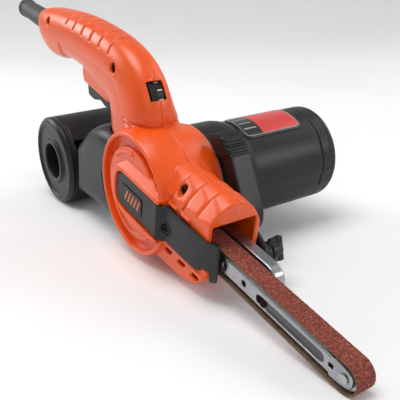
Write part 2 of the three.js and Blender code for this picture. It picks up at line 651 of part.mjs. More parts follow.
// ---- controls and wiring ----
function trigger() {
  const side = outline([
    [TRIGGER_X + 4, TRIGGER_Z - 4.5, 3], [TRIGGER_X + 4, TRIGGER_Z + 3, 2], [-300, 42.6], [-309, 44.5, 1],
    [-307, 40, 1], [-305.5, 31, 2], [-296, 30, 3], [-284, 34.5, 6], [-277, 31.5, 4],
  ]);
  const body = alongY(side, MID_Y - 7.5, MID_Y + 7.5);
  return cut(body, rod(TRIGGER_X, TRIGGER_Z, 1.5 + GAP, -40, 60, 16), springSeat());
}

function springSeat() {
  const seat = new THREE.CylinderGeometry(3.4, 3.4, 8, 16).rotateX(Math.PI / 2).translate(-299, MID_Y, 42);
  return solid(seat);
}

function triggerSpring() {
  return coilSpring(new THREE.Vector3(-299, MID_Y, 39), new THREE.Vector3(-299, MID_Y, 55.2), 2.2, 0.4, 5);
}

function triggerPin() {
  return rod(TRIGGER_X, TRIGGER_Z, 1.5, MID_Y - 7.9, MID_Y + 7.9, 16);
}

function switchBody() {
  return join(
    box(-306, -272, MID_Y - 7, MID_Y + 7, 57, 78),
    box(-292, -286, MID_Y - 2, MID_Y + 2, 51.5, 58),
  );
}

function speedDial() {
  const wheel = rod(DIAL_X, DIAL_Z, DIAL_R, MID_Y - 5, MID_Y + 5, FINE);
  const knurls = Array.from({ length: 12 }, (_, i) => (
    rod(DIAL_R + 0.2, 0, 0.9, -40, MID_Y - 0.5, 4).rotate([0, i * 30, 0]).translate([DIAL_X, 0, DIAL_Z])));
  return cut(wheel, ...knurls, rod(DIAL_X, DIAL_Z, 2 + GAP, -40, 60, 16));
}

function controlBoard() {
  const board = box(DIAL_X - 17, DIAL_X - 4, MID_Y + 6.6, MID_Y + 8.2, DIAL_Z - 12, DIAL_Z + 10);
  const stub = rod(DIAL_X, DIAL_Z, 2, MID_Y - 4.5, MID_Y + 7.5, 16);
  const pot = rod(DIAL_X, DIAL_Z, 5, MID_Y + 5 + GAP, MID_Y + 8.2, COARSE);
  return join(board, stub, pot, box(DIAL_X - 8, DIAL_X, MID_Y + 6.6, MID_Y + 8.2, DIAL_Z - 4, DIAL_Z + 4));
}

function capacitor() {
  return box(-345, -326, MID_Y - 6, MID_Y + 6, 60, 74);
}

// A solid of revolution about the cord's line, with a profile of [radius, distance from the inner end].
function alongSleeve(profile) {
  const start = new THREE.Vector3(-395, MID_Y, 62);
  const end = new THREE.Vector3(-454, MID_Y, 60);
  const sleeve = new THREE.LatheGeometry(profile.map(([r, y]) => new THREE.Vector2(r, y)), 20);
  const direction = end.sub(start).normalize();
  const turn = new THREE.Quaternion().setFromUnitVectors(new THREE.Vector3(0, 1, 0), direction);
  return solid(sleeve.applyQuaternion(turn).translate(start.x, start.y, start.z));
}

function cordSleeve() {
  return alongSleeve([
    [3.6, 0], [9.6, 0], [9.6, 2.8], [7.4, 2.8], [7.4, 7.5], [9, 9], [8.6, 20], [8.2, 34],
    [7.8, SLEEVE_LENGTH - 5], [8.6, SLEEVE_LENGTH - 4], [8.6, SLEEVE_LENGTH - 1], [7.8, SLEEVE_LENGTH],
    [3.6, SLEEVE_LENGTH], [3.6, 0],
  ]);
}

function cordClamp() {
  const bar = box(CLAMP_X - 3.5, CLAMP_X + 3.5, MID_Y - 9, MID_Y + 9, 55, 58);
  return cut(bar, ...CLAMP_SCREWS.map((y) => upright(y, 1.3 + GAP, 50, 60)));
}

function upright(y, r, z0, z1) {
  const pin = new THREE.CylinderGeometry(r, r, z1 - z0, 16).rotateX(Math.PI / 2);
  return solid(pin.translate(CLAMP_X, y, (z0 + z1) / 2));
}

function clampScrew(y) {
  return join(upright(y, 2.5, 58 + GAP, 60), upright(y, 1.3, 51.5, 59));
}

// ---- label ----
function motorLabel() {
  const patch = alongZ(outline([
    [MX - 15, 67, 6], [MX + 17, 67, 6], [MX + 17, 121, 6], [MX - 15, 121, 6],
  ]), 20, 60);
  const skin = ring(MX, 0, CAN_R + GAP + 0.5, CAN_R + GAP, 60, 130, FINE);
  return skin.intersect(patch);
}

// ---- scene ----
const FINISHES = {
  orange: { color: 0xe8501a, roughness: 0.42, metalness: 0 },
  black: { color: 0x26272a, roughness: 0.55, metalness: 0 },
  dark: { color: 0x18191b, roughness: 0.6, metalness: 0 },
  steel: { color: 0xb9bcc0, roughness: 0.35, metalness: 1 },
  aluminium: { color: 0xb4b7bc, roughness: 0.45, metalness: 1 },
  copper: { color: 0xb5673a, roughness: 0.4, metalness: 1 },
  brass: { color: 0xc9a24a, roughness: 0.35, metalness: 1 },
  carbon: { color: 0x1b1b1d, roughness: 0.8, metalness: 0 },
  laminations: { color: 0x74777b, roughness: 0.5, metalness: 1 },
  abrasive: { color: 0x8a3a26, roughness: 0.95, metalness: 0 },
  rubber: { color: 0x35363a, roughness: 0.8, metalness: 0 },
  board: { color: 0x1f6b3a, roughness: 0.6, metalness: 0 },
  red: { color: 0xd8383a, roughness: 0.4, metalness: 0 },
  badge: { color: 0xc4481c, roughness: 0.4, metalness: 0 },
};

const tool = new THREE.Group();

function add(name, finish, manifold) {
  const { vertProperties, triVerts, numProp } = manifold.getMesh();
  const at = new Float32Array(vertProperties.length / numProp * 3);
  for (let i = 0; i < at.length / 3; i += 1) {
    for (let k = 0; k < 3; k += 1) at[i * 3 + k] = vertProperties[i * numProp + k];
  }
  const geometry = new THREE.BufferGeometry();
  geometry.setAttribute('position', new THREE.BufferAttribute(at, 3));
  geometry.setIndex(new THREE.BufferAttribute(new Uint32Array(triVerts), 1));
  geometry.computeVertexNormals();
  const mesh = new THREE.Mesh(geometry, new THREE.MeshStandardMaterial(FINISHES[finish]));
  mesh.name = name;
  tool.add(mesh);
}

const [leftShell, rightShell] = shells();
add('left_shell', 'orange', leftShell);
add('right_shell', 'orange', rightShell);
for (const screw of SHELL_SCREWS) add(`${screw[0]}_screw`, 'steel', shellScrew(screw));
add('belt_cover', 'black', beltCover());
add('belt_cover_screw', 'dark', beltCoverScrew());
add('badge_plate', 'badge', badgePlate());

add('motor_housing', 'black', motorHousing());
add('motor_end_cap', 'black', motorEndCap());
END_SCREWS.forEach((degrees, i) => add(`end_cap_screw_${i + 1}`, 'steel', endCapScrew(degrees)));
add('motor_label', 'red', motorLabel());
add('stator_core', 'laminations', statorCore());
fieldCoils().forEach((coil, i) => add(['upper_field_coil', 'lower_field_coil'][i], 'copper', coil));
add('armature_core', 'laminations', armatureCore());
add('front_winding', 'copper', armatureWinding(STACK_Y0 + 1 - GAP, STACK_Y0 - 8));
add('rear_winding', 'copper', armatureWinding(STACK_Y1 - 1 + GAP, STACK_Y1 + 8));
add('commutator', 'copper', commutator());
add('motor_shaft', 'steel', motorShaft());
add('front_bearing', 'steel', ballBearing(MID_Y + 3, MID_Y + 10));
add('rear_bearing', 'steel', ballBearing(133.4, 140.4));
add('dust_impeller', 'dark', bladedWheel(MID_Y + 13, DOME_Y - 4, 8, 33, 9));
add('cooling_fan', 'dark', bladedWheel(DOME_Y + 6, DOME_Y + 20, 8, 31, 12));
add('front_brush_holder', 'brass', brushHolder(1));
add('rear_brush_holder', 'brass', brushHolder(-1));
add('front_brush', 'carbon', carbonBrush(1));
add('rear_brush', 'carbon', carbonBrush(-1));

add('sanding_belt', 'abrasive', sandingBelt());
add('drive_roller', 'rubber', driveRoller());
add('arm_bar', 'aluminium', armBar());
add('nose_roller', 'steel', noseRoller());
add('nose_axle', 'steel', noseAxle());
add('support_bar', 'aluminium', supportBar());
ARM_BOLTS.forEach((x, i) => add(`arm_bolt_${i + 1}`, 'steel', armBolt(x)));
add('tension_spring', 'steel', tensionSpring());
add('tension_bracket', 'dark', tensionBracket());
add('tension_lever', 'black', tensionLever());
add('lever_pin', 'steel', leverPin());
add('tracking_knob', 'black', trackingKnob());

add('dust_duct', 'black', dustDuct());
add('dust_can', 'black', dustCan());
add('dust_can_cover', 'black', dustCanCover());

add('trigger', 'dark', trigger());
add('trigger_pin', 'steel', triggerPin());
add('trigger_spring', 'steel', triggerSpring());
add('switch_body', 'dark', switchBody());
add('speed_dial', 'dark', speedDial());
add('control_board', 'board', controlBoard());
add('capacitor', 'rubber', capacitor());
add('cord_sleeve', 'rubber', cordSleeve());
add('cord_clamp', 'dark', cordClamp());
CLAMP_SCREWS.forEach((y, i) => add(`clamp_screw_${i + 1}`, 'steel', clampScrew(y)));

// The tool lies nose-down on the belt's nose and the dust can; the origin is under the middle of its box.
tool.rotation.y = THREE.MathUtils.degToRad(REST_PITCH);
tool.updateMatrixWorld(true);
const bounds = new THREE.Box3().setFromObject(tool, true);
const middle = bounds.getCenter(new THREE.Vector3());
tool.position.set(-middle.x, -middle.y, -bounds.min.z);

const beltSander = new THREE.Group();
beltSander.add(tool);
beltSander.updateMatrixWorld(true);

export default beltSander;
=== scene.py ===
import json
import math

import bpy
import numpy as np
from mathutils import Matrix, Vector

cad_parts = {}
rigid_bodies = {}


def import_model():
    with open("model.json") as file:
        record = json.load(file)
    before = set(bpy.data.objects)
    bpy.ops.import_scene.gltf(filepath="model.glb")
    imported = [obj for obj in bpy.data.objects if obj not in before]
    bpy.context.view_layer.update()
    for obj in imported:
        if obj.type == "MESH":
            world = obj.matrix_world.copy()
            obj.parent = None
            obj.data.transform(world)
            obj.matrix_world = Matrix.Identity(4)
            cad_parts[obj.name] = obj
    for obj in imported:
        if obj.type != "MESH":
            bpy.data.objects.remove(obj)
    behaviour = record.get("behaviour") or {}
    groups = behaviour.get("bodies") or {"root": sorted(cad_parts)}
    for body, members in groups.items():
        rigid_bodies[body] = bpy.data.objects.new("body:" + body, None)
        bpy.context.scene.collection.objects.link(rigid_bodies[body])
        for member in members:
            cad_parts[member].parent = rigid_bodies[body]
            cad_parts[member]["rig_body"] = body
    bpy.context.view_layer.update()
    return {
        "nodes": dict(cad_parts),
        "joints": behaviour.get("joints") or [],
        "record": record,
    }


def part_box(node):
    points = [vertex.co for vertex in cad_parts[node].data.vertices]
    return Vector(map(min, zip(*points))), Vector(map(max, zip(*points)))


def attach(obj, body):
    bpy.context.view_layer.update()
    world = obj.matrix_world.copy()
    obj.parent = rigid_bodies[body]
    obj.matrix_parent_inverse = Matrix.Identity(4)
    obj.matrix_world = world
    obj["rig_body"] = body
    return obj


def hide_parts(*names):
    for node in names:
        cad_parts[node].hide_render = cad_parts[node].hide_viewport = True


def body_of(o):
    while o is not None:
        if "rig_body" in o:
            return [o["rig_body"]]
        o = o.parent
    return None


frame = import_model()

import openvdb
from mathutils import Matrix, Vector

# ---- the tool's own frame ----
# Shapes are worked out in millimetres in the tool frame: origin at the nose roller, X forward along
# the arm, Y towards the motor, Z up. TOOL carries a point from there to the row frame in metres.
JOINTS = {joint["name"]: joint for joint in frame["joints"]}
ARM_AXIS = Vector(JOINTS["arm_slide"]["axis"])
PITCH = math.atan2(-ARM_AXIS.z, ARM_AXIS.x)
NOSE = (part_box("nose_roller")[0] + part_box("nose_roller")[1]) / 2
TOOL = Matrix.Translation(NOSE) @ Matrix.Rotation(PITCH, 4, "Y") @ Matrix.Scale(0.001, 4)
TO_TOOL = TOOL.inverted()


def joint_at(name):
    """Where a joint sits in the tool frame."""
    return TO_TOOL @ Vector(JOINTS[name]["pos_m"])


def carry(points, matrix):
    """Rows of points moved by a 4x4 matrix."""
    matrix = np.array(matrix)
    return points @ matrix[:3, :3].T + matrix[:3, 3]


WALL = 2.5  # moulded walls
GAP = 0.3  # clearance between neighbouring parts
SCREW_HOLE, BOLT_HOLE, PIVOT_HOLE = 1.8, 2.3, 3.3
MID_Y = 8  # parting plane of the two shells
MX = joint_at("rotor_spin").x  # motor axis
DISC_Y, DISC_R = -17.5, 44.1  # left face of the round body
DOME_Y = 34.5  # its right face
MOUTH_X = -112  # front edge of the hood
HOOD_LEFT, HOOD_RIGHT = -12.5, 26  # its side walls
CAN_R, COLLAR_R, CAN_BORE = 36.9, 39.6, 34.4
MOTOR_END, CAP_SEAM = 146.4, 131
DUST_X, DUST_Z, DUST_R, DUST_END = -340.8, -42.4, 38.2, 47
OUTLET_R = 15.5
DIAL = joint_at("dial_turn")
DIAL_TILT = math.radians(44)
LEVER = joint_at("lever_swing")
KNOB = joint_at("tracking_turn")
TRIGGER = joint_at("trigger_squeeze")
COVER_SCREW = (-152, -1)
SHELL_SCREWS = [(-249, 73.5, -1.5), (-370, 72, 0), (-150, 27.5, -4.5)]  # x, z, seat of the head
ARM_BOLTS = [(-120, -0.5), (-88, -0.5)]

# Handle sections: crown [x, z], underside [x, z], half width, from the dome back to the cord sleeve.
HANDLE = [
    ((-196, 18), (-243, -6), 15), ((-203, 38), (-254, 8), 17), ((-204.5, 52), (-259, 22), 17.5),
    ((-209, 64), (-261.5, 33), 17), ((-219, 75.5), (-264, 41), 16.5), ((-235, 85), (-270, 43), 16),
    ((-256, 90), (-281, 45), 15.5), ((-282, 91), (-296, 48), 15.5), ((-310, 90), (-314, 51), 15.5),
    ((-335, 87.5), (-336, 50), 15.5), ((-355, 84.5), (-354, 44.5), 15), ((-374, 81), (-371, 42.5), 14.5),
    ((-389, 77.5), (-388, 46), 13), ((-401, 73.5), (-400, 52), 10.5),
]
FAR = 6.0  # distances are only kept this far from a surface


# ---- signed distances: negative inside, in millimetres ----
def rounded(corners, steps=6):
    """A closed outline from corners (a, b) or (a, b, radius); a corner with a radius is rounded."""
    points = []
    for i, (a, b, *radius) in enumerate(corners):
        corner = np.array([a, b], float)
        if not radius:
            points.append(corner)
            continue
        before = np.array(corners[i - 1][:2]) - corner
        after = np.array(corners[(i + 1) % len(corners)][:2]) - corner
        start = before * min(radius[0] / np.linalg.norm(before), 0.45)
        end = after * min(radius[0] / np.linalg.norm(after), 0.45)
        for t in np.linspace(0, 1, steps):
            points.append(corner + (1 - t) ** 2 * start + t ** 2 * end)
    return points


def polygon(corners, u, v):
    nearest = np.full(np.broadcast(u, v).shape, 1e6, np.float32)
    inside = np.zeros(nearest.shape, bool)
    points = rounded(corners)
    for i, (a, b) in enumerate(points):
        c, d = points[(i + 1) % len(points)]
        length2 = (c - a) ** 2 + (d - b) ** 2
        if length2 < 1e-9:
            continue
        t = np.clip(((u - a) * (c - a) + (v - b) * (d - b)) / length2, 0, 1)
        nearest = np.minimum(nearest, (u - a - t * (c - a)) ** 2 + (v - b - t * (d - b)) ** 2)
        if abs(d - b) > 1e-9:
            inside ^= ((b > v) != (d > v)) & (u < (c - a) * (v - b) / (d - b) + a)
    return np.where(inside, -1, 1).astype(np.float32) * np.sqrt(nearest)


def soft_min(a, b, soft):
    if not soft:
        return np.minimum(a, b)
    meet = np.maximum(soft - np.abs(a - b), 0)
    return np.minimum(a, b) - meet * meet / (4 * soft)


def soft_max(a, b, soft):
    return -soft_min(-a, -b, soft)


def between(value, low, high):
    return np.abs(value - (low + high) / 2) - (high - low) / 2


def fade(value, start, end):
    """0 up to start, 1 from end on and straight between them."""
    return np.clip((value - start) / (end - start), 0, 1)


def oblong(a0, b0, a1, b1, *radius):
    """The corners of a rectangle, all with the same radius if one is given."""
    return [(a, b, *radius) for a, b in ((a0, b0), (a1, b0), (a1, b1), (a0, b1))]


def ring(cx, cz, radius, turns):
    """Points on a circle about (cx, cz), at turns in degrees."""
    return [(cx + radius * math.cos(math.radians(turn)), cz + radius * math.sin(math.radians(turn)))
            for turn in turns]


def around(x, z, reach, low, high):
    """The corners of a window about a line along Y."""
    return (x - reach, low, z - reach), (x + reach, high, z + reach)


def half_space(nx, ny, nz, offset):
    """What lies behind a plane that is offset from the origin along its normal."""
    return lambda x, y, z: nx * x + ny * y + nz * z - offset


def grown(shape, margin):
    return lambda x, y, z: shape(x, y, z) - margin


def closed(profile):
    """The outline of a profile of (radius, distance), mirrored where it starts on the axis."""
    side = rounded(profile)
    return side if side[0][0] > 0 else [(-a, b) for a, b in reversed(side)] + side


def along_y(corners, low, high, edge=0):
    """A prism along Y whose end edges are rounded off by edge."""
    return lambda x, y, z: soft_max(polygon(corners, x, z), between(y, low, high), edge)


def along_x(corners, low, high, edge=0):
    return lambda x, y, z: soft_max(polygon(corners, y, z), between(x, low, high), edge)


def along_z(corners, low, high, edge=0):
    return lambda x, y, z: soft_max(polygon(corners, x, y), between(z, low, high), edge)


def block(low, high):
    return lambda x, y, z: np.maximum(np.maximum(
        between(x, low[0], high[0]), between(y, low[1], high[1])), between(z, low[2], high[2]))


def rod(cx, cz, radius, low, high, edge=0):
    return lambda x, y, z: soft_max(np.hypot(x - cx, z - cz) - radius, between(y, low, high), edge)


def turned(cx, cz, profile):
    """A solid of revolution about the line along Y through (cx, cz); profile holds (radius, y)."""
    def shape(x, y, z):
        radius = np.hypot(x - cx, z - cz)
        reach = np.arange(0, float(radius.max()) + 0.5, 0.2, dtype=np.float32)
        table = polygon(closed(profile), reach[:, None], y.ravel())
        slices = [np.interp(radius[:, 0, :], reach, column) for column in table.T]
        return np.stack(slices, axis=1).astype(np.float32)
    return shape


def placed(shape, origin, angle):
    """The shape drawn about the origin, turned about Y (nose up is positive) and carried to origin."""
    cosine, sine = math.cos(angle), math.sin(angle)

    def moved(x, y, z):
        dx, dz = x - origin[0], z - origin[1]
        return shape(dx * cosine + dz * sine, y, dz * cosine - dx * sine)
    return moved


class Solid:
    """A solid on a regular grid in the tool frame, built up by adding and cutting shapes."""

    def __init__(self, low, high, step):
        self.step = step
        self.axes = [np.arange(a - 3 * step, b + 3 * step, step, dtype=np.float32)
                     for a, b in zip(low, high)]
        self.distance = np.full([len(axis) for axis in self.axes], FAR, np.float32)

    def window(self, low, high):
        if low is None:
            return (slice(None),) * 3
        return tuple(slice(*np.searchsorted(axis, (a, b))) for axis, a, b in zip(self.axes, low, high))

    def grid(self, cells):
        return np.ix_(*[axis[cell] for axis, cell in zip(self.axes, cells)])

    def add(self, shape, soft=0, low=None, high=None):
        cells = self.window(low, high)
        self.distance[cells] = soft_min(self.distance[cells], shape(*self.grid(cells)), soft)
        return self

    def cut(self, shape, soft=0, low=None, high=None):
        cells = self.window(low, high)
        self.distance[cells] = -soft_min(-self.distance[cells], shape(*self.grid(cells)), soft)
        return self

    def engrave(self, shape, depth, low=None, high=None):
        """Sinks the surface by depth wherever shape covers it."""
        cells = self.window(low, high)
        here = self.distance[cells]
        inside = np.maximum(shape(*self.grid(cells)), -(here + depth))
        self.distance[cells] = np.maximum(here, -inside)
        return self

    def sample(self, points):
        """The distance at each point, by trilinear interpolation."""
        place = (points - [axis[0] for axis in self.axes]) / self.step
        cell = np.clip(place.astype(int), 0, np.array(self.distance.shape) - 2)
        part = place - cell
        total = np.zeros(len(points))
        for corner in np.ndindex(2, 2, 2):
            weight = np.where(corner, part, 1 - part).prod(1)
            total += weight * self.distance[tuple((cell + corner).T)]
        return total

    def sharpen(self, points, plane):
        """Pulls the points that lie near the cut at y = plane onto it, and their rim onto this surface."""
        near = np.abs(points[:, 1] - plane) < 0.75 * self.step
        rim = points[near]
        rim[:, 1] = plane
        tilt = np.zeros_like(rim)
        for axis in (0, 2):
            shift = np.zeros(3)
            shift[axis] = self.step
            tilt[:, axis] = self.sample(rim + shift) - self.sample(rim - shift)
        tilt /= np.maximum(np.linalg.norm(tilt, axis=1, keepdims=True), 1e-6)
        off = self.sample(rim)
        reach = np.where(np.abs(off) < 0.75 * self.step, off, 0)
        points[near] = rim - tilt * reach[:, None]
        return points

    def skin(self, name, whole=None, plane=None):
        """The surface as a Blender object in the row frame; a half of whole is sharpened at plane."""
        values = np.clip(self.distance, -FAR, FAR)
        volume = openvdb.FloatGrid(FAR)
        volume.copyFromArray(values)
        points, _, quads = volume.convertToPolygons(isovalue=0.0)
        quads = largest_part(quads.astype(np.int64), len(points))
        kept, quads = np.unique(quads, return_inverse=True)
        places = points[kept] * self.step + np.array([axis[0] for axis in self.axes])
        if whole:
            places = whole.sharpen(places, plane)
        return mesh_object(name, places, quads.reshape(-1, 4))

    def copy(self):
        twin = object.__new__(Solid)
        twin.step, twin.axes, twin.distance = self.step, self.axes, self.distance.copy()
        return twin


def largest_part(quads, count):
    """The quads of the largest connected surface, without the crumbs that cuts can leave."""
    label = np.arange(count)
    while True:
        before = label.copy()
        np.minimum.at(label, quads.ravel(), np.repeat(label[quads].min(1), 4))
        label = label[label]
        if np.array_equal(label, before):
            break
    owner = label[quads[:, 0]]
    return quads[owner == np.bincount(owner).argmax()]


def new_object(name, data):
    made = bpy.data.objects.new(name, data)
    bpy.context.scene.collection.objects.link(made)
    return made


def mesh_object(name, points, faces):
    """A smooth-shaded mesh from points in the tool frame and faces that all have as many corners."""
    world = carry(points, TOOL)
    faces = np.asarray(faces, np.int64)
    corners = world[faces]
    swept = np.einsum("ij,ij->i", corners[:, 0], np.cross(corners[:, 1], corners[:, 2])).sum()
    if swept < 0:
        faces = faces[:, ::-1]
    count, sides = faces.shape
    mesh = bpy.data.meshes.new(name)
    mesh.vertices.add(len(world))
    mesh.vertices.foreach_set("co", world.astype(np.float32).ravel())
    mesh.loops.add(count * sides)
    mesh.loops.foreach_set("vertex_index", np.ascontiguousarray(faces).astype(np.int32).ravel())
    mesh.polygons.add(count)
    mesh.polygons.foreach_set("loop_start", np.arange(count, dtype=np.int32) * sides)
    mesh.polygons.foreach_set("use_smooth", np.ones(count, bool))
    mesh.update(calc_edges=True)
    mesh.validate()
    return new_object(name, mesh)


SLOT_OF = {part["node"]: part["material_slot"] for part in frame["record"]["subparts"]}


def finish_piece(piece, *nodes, finish=None):
    """Makes the piece stand for CAD nodes of one body, in the finish of the first of them."""
    slot = SLOT_OF[nodes[0]]
    piece.data.materials.append(finish or MATERIALS[slot])
    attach(piece, body_of(frame["nodes"][nodes[0]])[0])
    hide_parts(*nodes)
    return piece


def paint(piece, materials, choose):
    """Gives each face one of the materials, by its centre in the tool frame."""
    for material in materials:
        piece.data.materials.append(material)
    centres = np.empty(len(piece.data.polygons) * 3, np.float32)
    piece.data.polygons.foreach_get("center", centres)
    local = carry(centres.reshape(-1, 3), TO_TOOL)
    piece.data.polygons.foreach_set("material_index", choose(*local.T).astype(np.int32))


# ---- materials ----
class Nodes:
    """A Principled material whose noise textures are read in the piece's own coordinates, in metres."""

    def __init__(self, name, roughness, metallic=0.0):
        self.material = bpy.data.materials.new(name)
        self.material.use_nodes = True
        self.tree = self.material.node_tree
        self.shader = self.tree.nodes["Principled BSDF"]
        self.shader.inputs["Roughness"].default_value = roughness
        self.shader.inputs["Metallic"].default_value = metallic
        self.place = self.tree.nodes.new("ShaderNodeTexCoord").outputs["Object"]

    def node(self, kind, **inputs):
        made = self.tree.nodes.new(kind)
        for key, value in inputs.items():
            socket = made.inputs[key.replace("_", " ")]
            if isinstance(value, bpy.types.NodeSocket):
                self.tree.links.new(value, socket)
            else:
                socket.default_value = value
        return made

    def noise(self, scale, detail=3.0, stretch=(1, 1, 1)):
        mapped = self.node("ShaderNodeMapping", Vector=self.place, Scale=stretch)
        made = self.node("ShaderNodeTexNoise", Vector=mapped.outputs["Vector"], Scale=scale, Detail=detail)
        return made.outputs["Fac"]

    def ramp(self, factor, *stops):
        made = self.node("ShaderNodeValToRGB", Fac=factor)
        elements = made.color_ramp.elements
        while len(elements) < len(stops):
            elements.new(0.5)
        for element, (position, colour) in zip(elements, stops):
            element.position = position
            element.color = (*colour, 1)
        return made.outputs["Color"]

    def colour(self, socket):
        self.tree.links.new(socket, self.shader.inputs["Base Color"])

    def mixed(self, a, b, factor, kind="MIX"):
        made = self.tree.nodes.new("ShaderNodeMix")
        made.data_type = "RGBA"
        made.blend_type = kind
        for value, socket in ((factor, made.inputs[0]), (a, made.inputs[6]), (b, made.inputs[7])):
            if isinstance(value, bpy.types.NodeSocket):
                self.tree.links.new(value, socket)
            elif isinstance(value, (int, float)):
                socket.default_value = value
            else:
                socket.default_value = (*value, 1)
        return made.outputs[2]

    def roughness(self, factor, low, high):
        made = self.node("ShaderNodeMapRange", Value=factor, To_Min=low, To_Max=high)
        self.tree.links.new(made.outputs["Result"], self.shader.inputs["Roughness"])

    def bump(self, height, strength, distance):
        made = self.node("ShaderNodeBump", Height=height, Strength=strength, Distance=distance)
        self.tree.links.new(made.outputs["Normal"], self.shader.inputs["Normal"])

    def edges(self, base, worn, amount):
        """Lightens the base colour on sharp outer edges, where handling polishes it."""
        pointed = self.tree.nodes.new("ShaderNodeNewGeometry").outputs["Pointiness"]
        sharp = self.node("ShaderNodeMapRange", Value=pointed, From_Min=0.53, From_Max=0.62, To_Max=amount)
        return self.mixed(base, worn, sharp.outputs["Result"])


def scaled(colour, factor):
    return tuple(min(1.0, channel * factor) for channel in colour)


def moulded(name, colour, rough, grain=900, relief=0.05, spread=0.10, worn=None, coat=0.0, gloss=0.5):
    """Moulded plastic: faint cloudy colour, uneven gloss and a fine spark-eroded grain."""
    made = Nodes(name, rough)
    cloud = made.noise(28, 4)
    base = made.ramp(cloud, (0.3, scaled(colour, 1 - spread)), (0.7, scaled(colour, 1 + spread)))
    made.colour(made.edges(base, worn or scaled(colour, 1.5), 0.35))
    made.roughness(made.noise(55, 5), rough - 0.06, rough + 0.07)
    made.bump(made.noise(grain, 2), relief, 0.0002)
    made.shader.inputs["Specular IOR Level"].default_value = gloss
    made.shader.inputs["Coat Weight"].default_value = coat
    made.shader.inputs["Coat Roughness"].default_value = 0.25
    return made.material


def metal(name, colour, rough, stretch=(1, 1, 1), scale=600, relief=0.08, spread=0.12):
    """Bare metal: a directional grain, cloudy tarnish and uneven polish."""
    made = Nodes(name, rough, 1.0)
    grain = made.noise(scale, 5, stretch)
    cloud = made.noise(40, 5)
    tone = made.ramp(cloud, (0.25, scaled(colour, 1 - spread)), (0.75, scaled(colour, 1 + spread)))
    streak = made.ramp(grain, (0.3, (0.78, 0.78, 0.78)), (0.7, (1, 1, 1)))
    made.colour(made.mixed(tone, streak, 0.6, "MULTIPLY"))
    made.roughness(grain, rough - 0.08, rough + 0.12)
    made.bump(grain, relief, 0.0002)
    return made.material


def abrasive_material():
    """Fused aluminium oxide on red-brown resin: fine grains, some pale and some dark."""
    made = Nodes("abrasive_cloth", 0.78)
    grit = made.node("ShaderNodeTexVoronoi", Vector=made.place, Scale=1500)
    tone = made.ramp(grit.outputs["Color"], (0.1, (0.06, 0.010, 0.007)), (0.5, (0.24, 0.038, 0.021)),
                     (0.86, (0.40, 0.088, 0.050)), (0.98, (0.60, 0.34, 0.25)))
    cloud = made.ramp(made.noise(90, 4), (0.3, (0.78, 0.74, 0.72)), (0.7, (1.0, 1.0, 1.0)))
    made.colour(made.mixed(tone, cloud, 0.8, "MULTIPLY"))
    made.roughness(grit.outputs["Distance"], 0.6, 0.92)
    made.bump(grit.outputs["Distance"], 0.7, 0.0006)
    return made.material


def backing_material():
    """The belt's woven cloth back, stained brown."""
    made = Nodes("belt_backing", 0.85)
    threads = made.noise(1400, 2, (1, 0.25, 1))
    made.colour(made.ramp(threads, (0.3, (0.085, 0.048, 0.026)), (0.7, (0.20, 0.125, 0.07))))
    made.roughness(made.noise(200, 3), 0.75, 0.95)
    made.bump(threads, 0.35, 0.0003)
    return made.material


PLASTICS = {  # colour, roughness, grain, relief, spread, worn edge, coat, gloss
    "orange_plastic": ((0.80, 0.088, 0.004), 0.33, 700, 0.03, 0.05, (0.80, 0.10, 0.008), 0.1),
    "black_plastic": ((0.013, 0.0132, 0.014), 0.38, 1100, 0.10, 0.14, (0.04, 0.04, 0.042), 0, 0.3),
    "dark_plastic": ((0.009, 0.009, 0.010), 0.40, 900, 0.08, 0.15, None, 0, 0.3),
    "carbon": ((0.020, 0.020, 0.022), 0.7, 1500, 0.25),
    "rubber": ((0.042, 0.043, 0.046), 0.58, 800, 0.12, 0.12),
    "capacitor_case": ((0.34, 0.31, 0.25), 0.4),
    "circuit_board": ((0.016, 0.12, 0.045), 0.35),
    "label_red": ((0.62, 0.045, 0.040), 0.30, 500, 0.01, 0.06, None, 0.3),
    "label_black": ((0.012, 0.012, 0.013), 0.28, 500, 0.01, 0.08, None, 0.3),
    "label_line": ((0.30, 0.30, 0.31), 0.35, 500, 0.01, 0.08),
    "badge_orange": ((0.55, 0.12, 0.03), 0.35, 700, 0.05, 0.1),
    "dial_mark": ((0.62, 0.62, 0.60), 0.4),
}
METALS = {  # colour, roughness, stretch and scale of the grain, relief, spread
    "steel": ((0.52, 0.53, 0.54), 0.30, (1, 6, 1), 500),
    "blackened_steel": ((0.035, 0.035, 0.038), 0.42),
    "laminated_steel": ((0.22, 0.23, 0.24), 0.42, (0.05, 1, 0.05), 2200, 0.4),
    "copper": ((0.70, 0.26, 0.11), 0.34, (1, 0.15, 1), 1500, 0.35, 0.2),
    "brass": ((0.68, 0.47, 0.15), 0.32),
    "aluminium": ((0.42, 0.43, 0.45), 0.30, (0.06, 1, 1), 900, 0.12, 0.25),
    # The next row is a darker aluminium painted onto the floor of the arm's long groove: painted shade for
    # the groove's depth.
    "recess_painted_shade": ((0.13, 0.13, 0.14), 0.36, (0.06, 1, 1), 900, 0.12, 0.25),
}
MATERIALS = {name: moulded(name, *look) for name, look in PLASTICS.items()}
MATERIALS.update({name: metal(name, *look) for name, look in METALS.items()})
MATERIALS["abrasive_cloth"] = abrasive_material()
BACKING = backing_material()


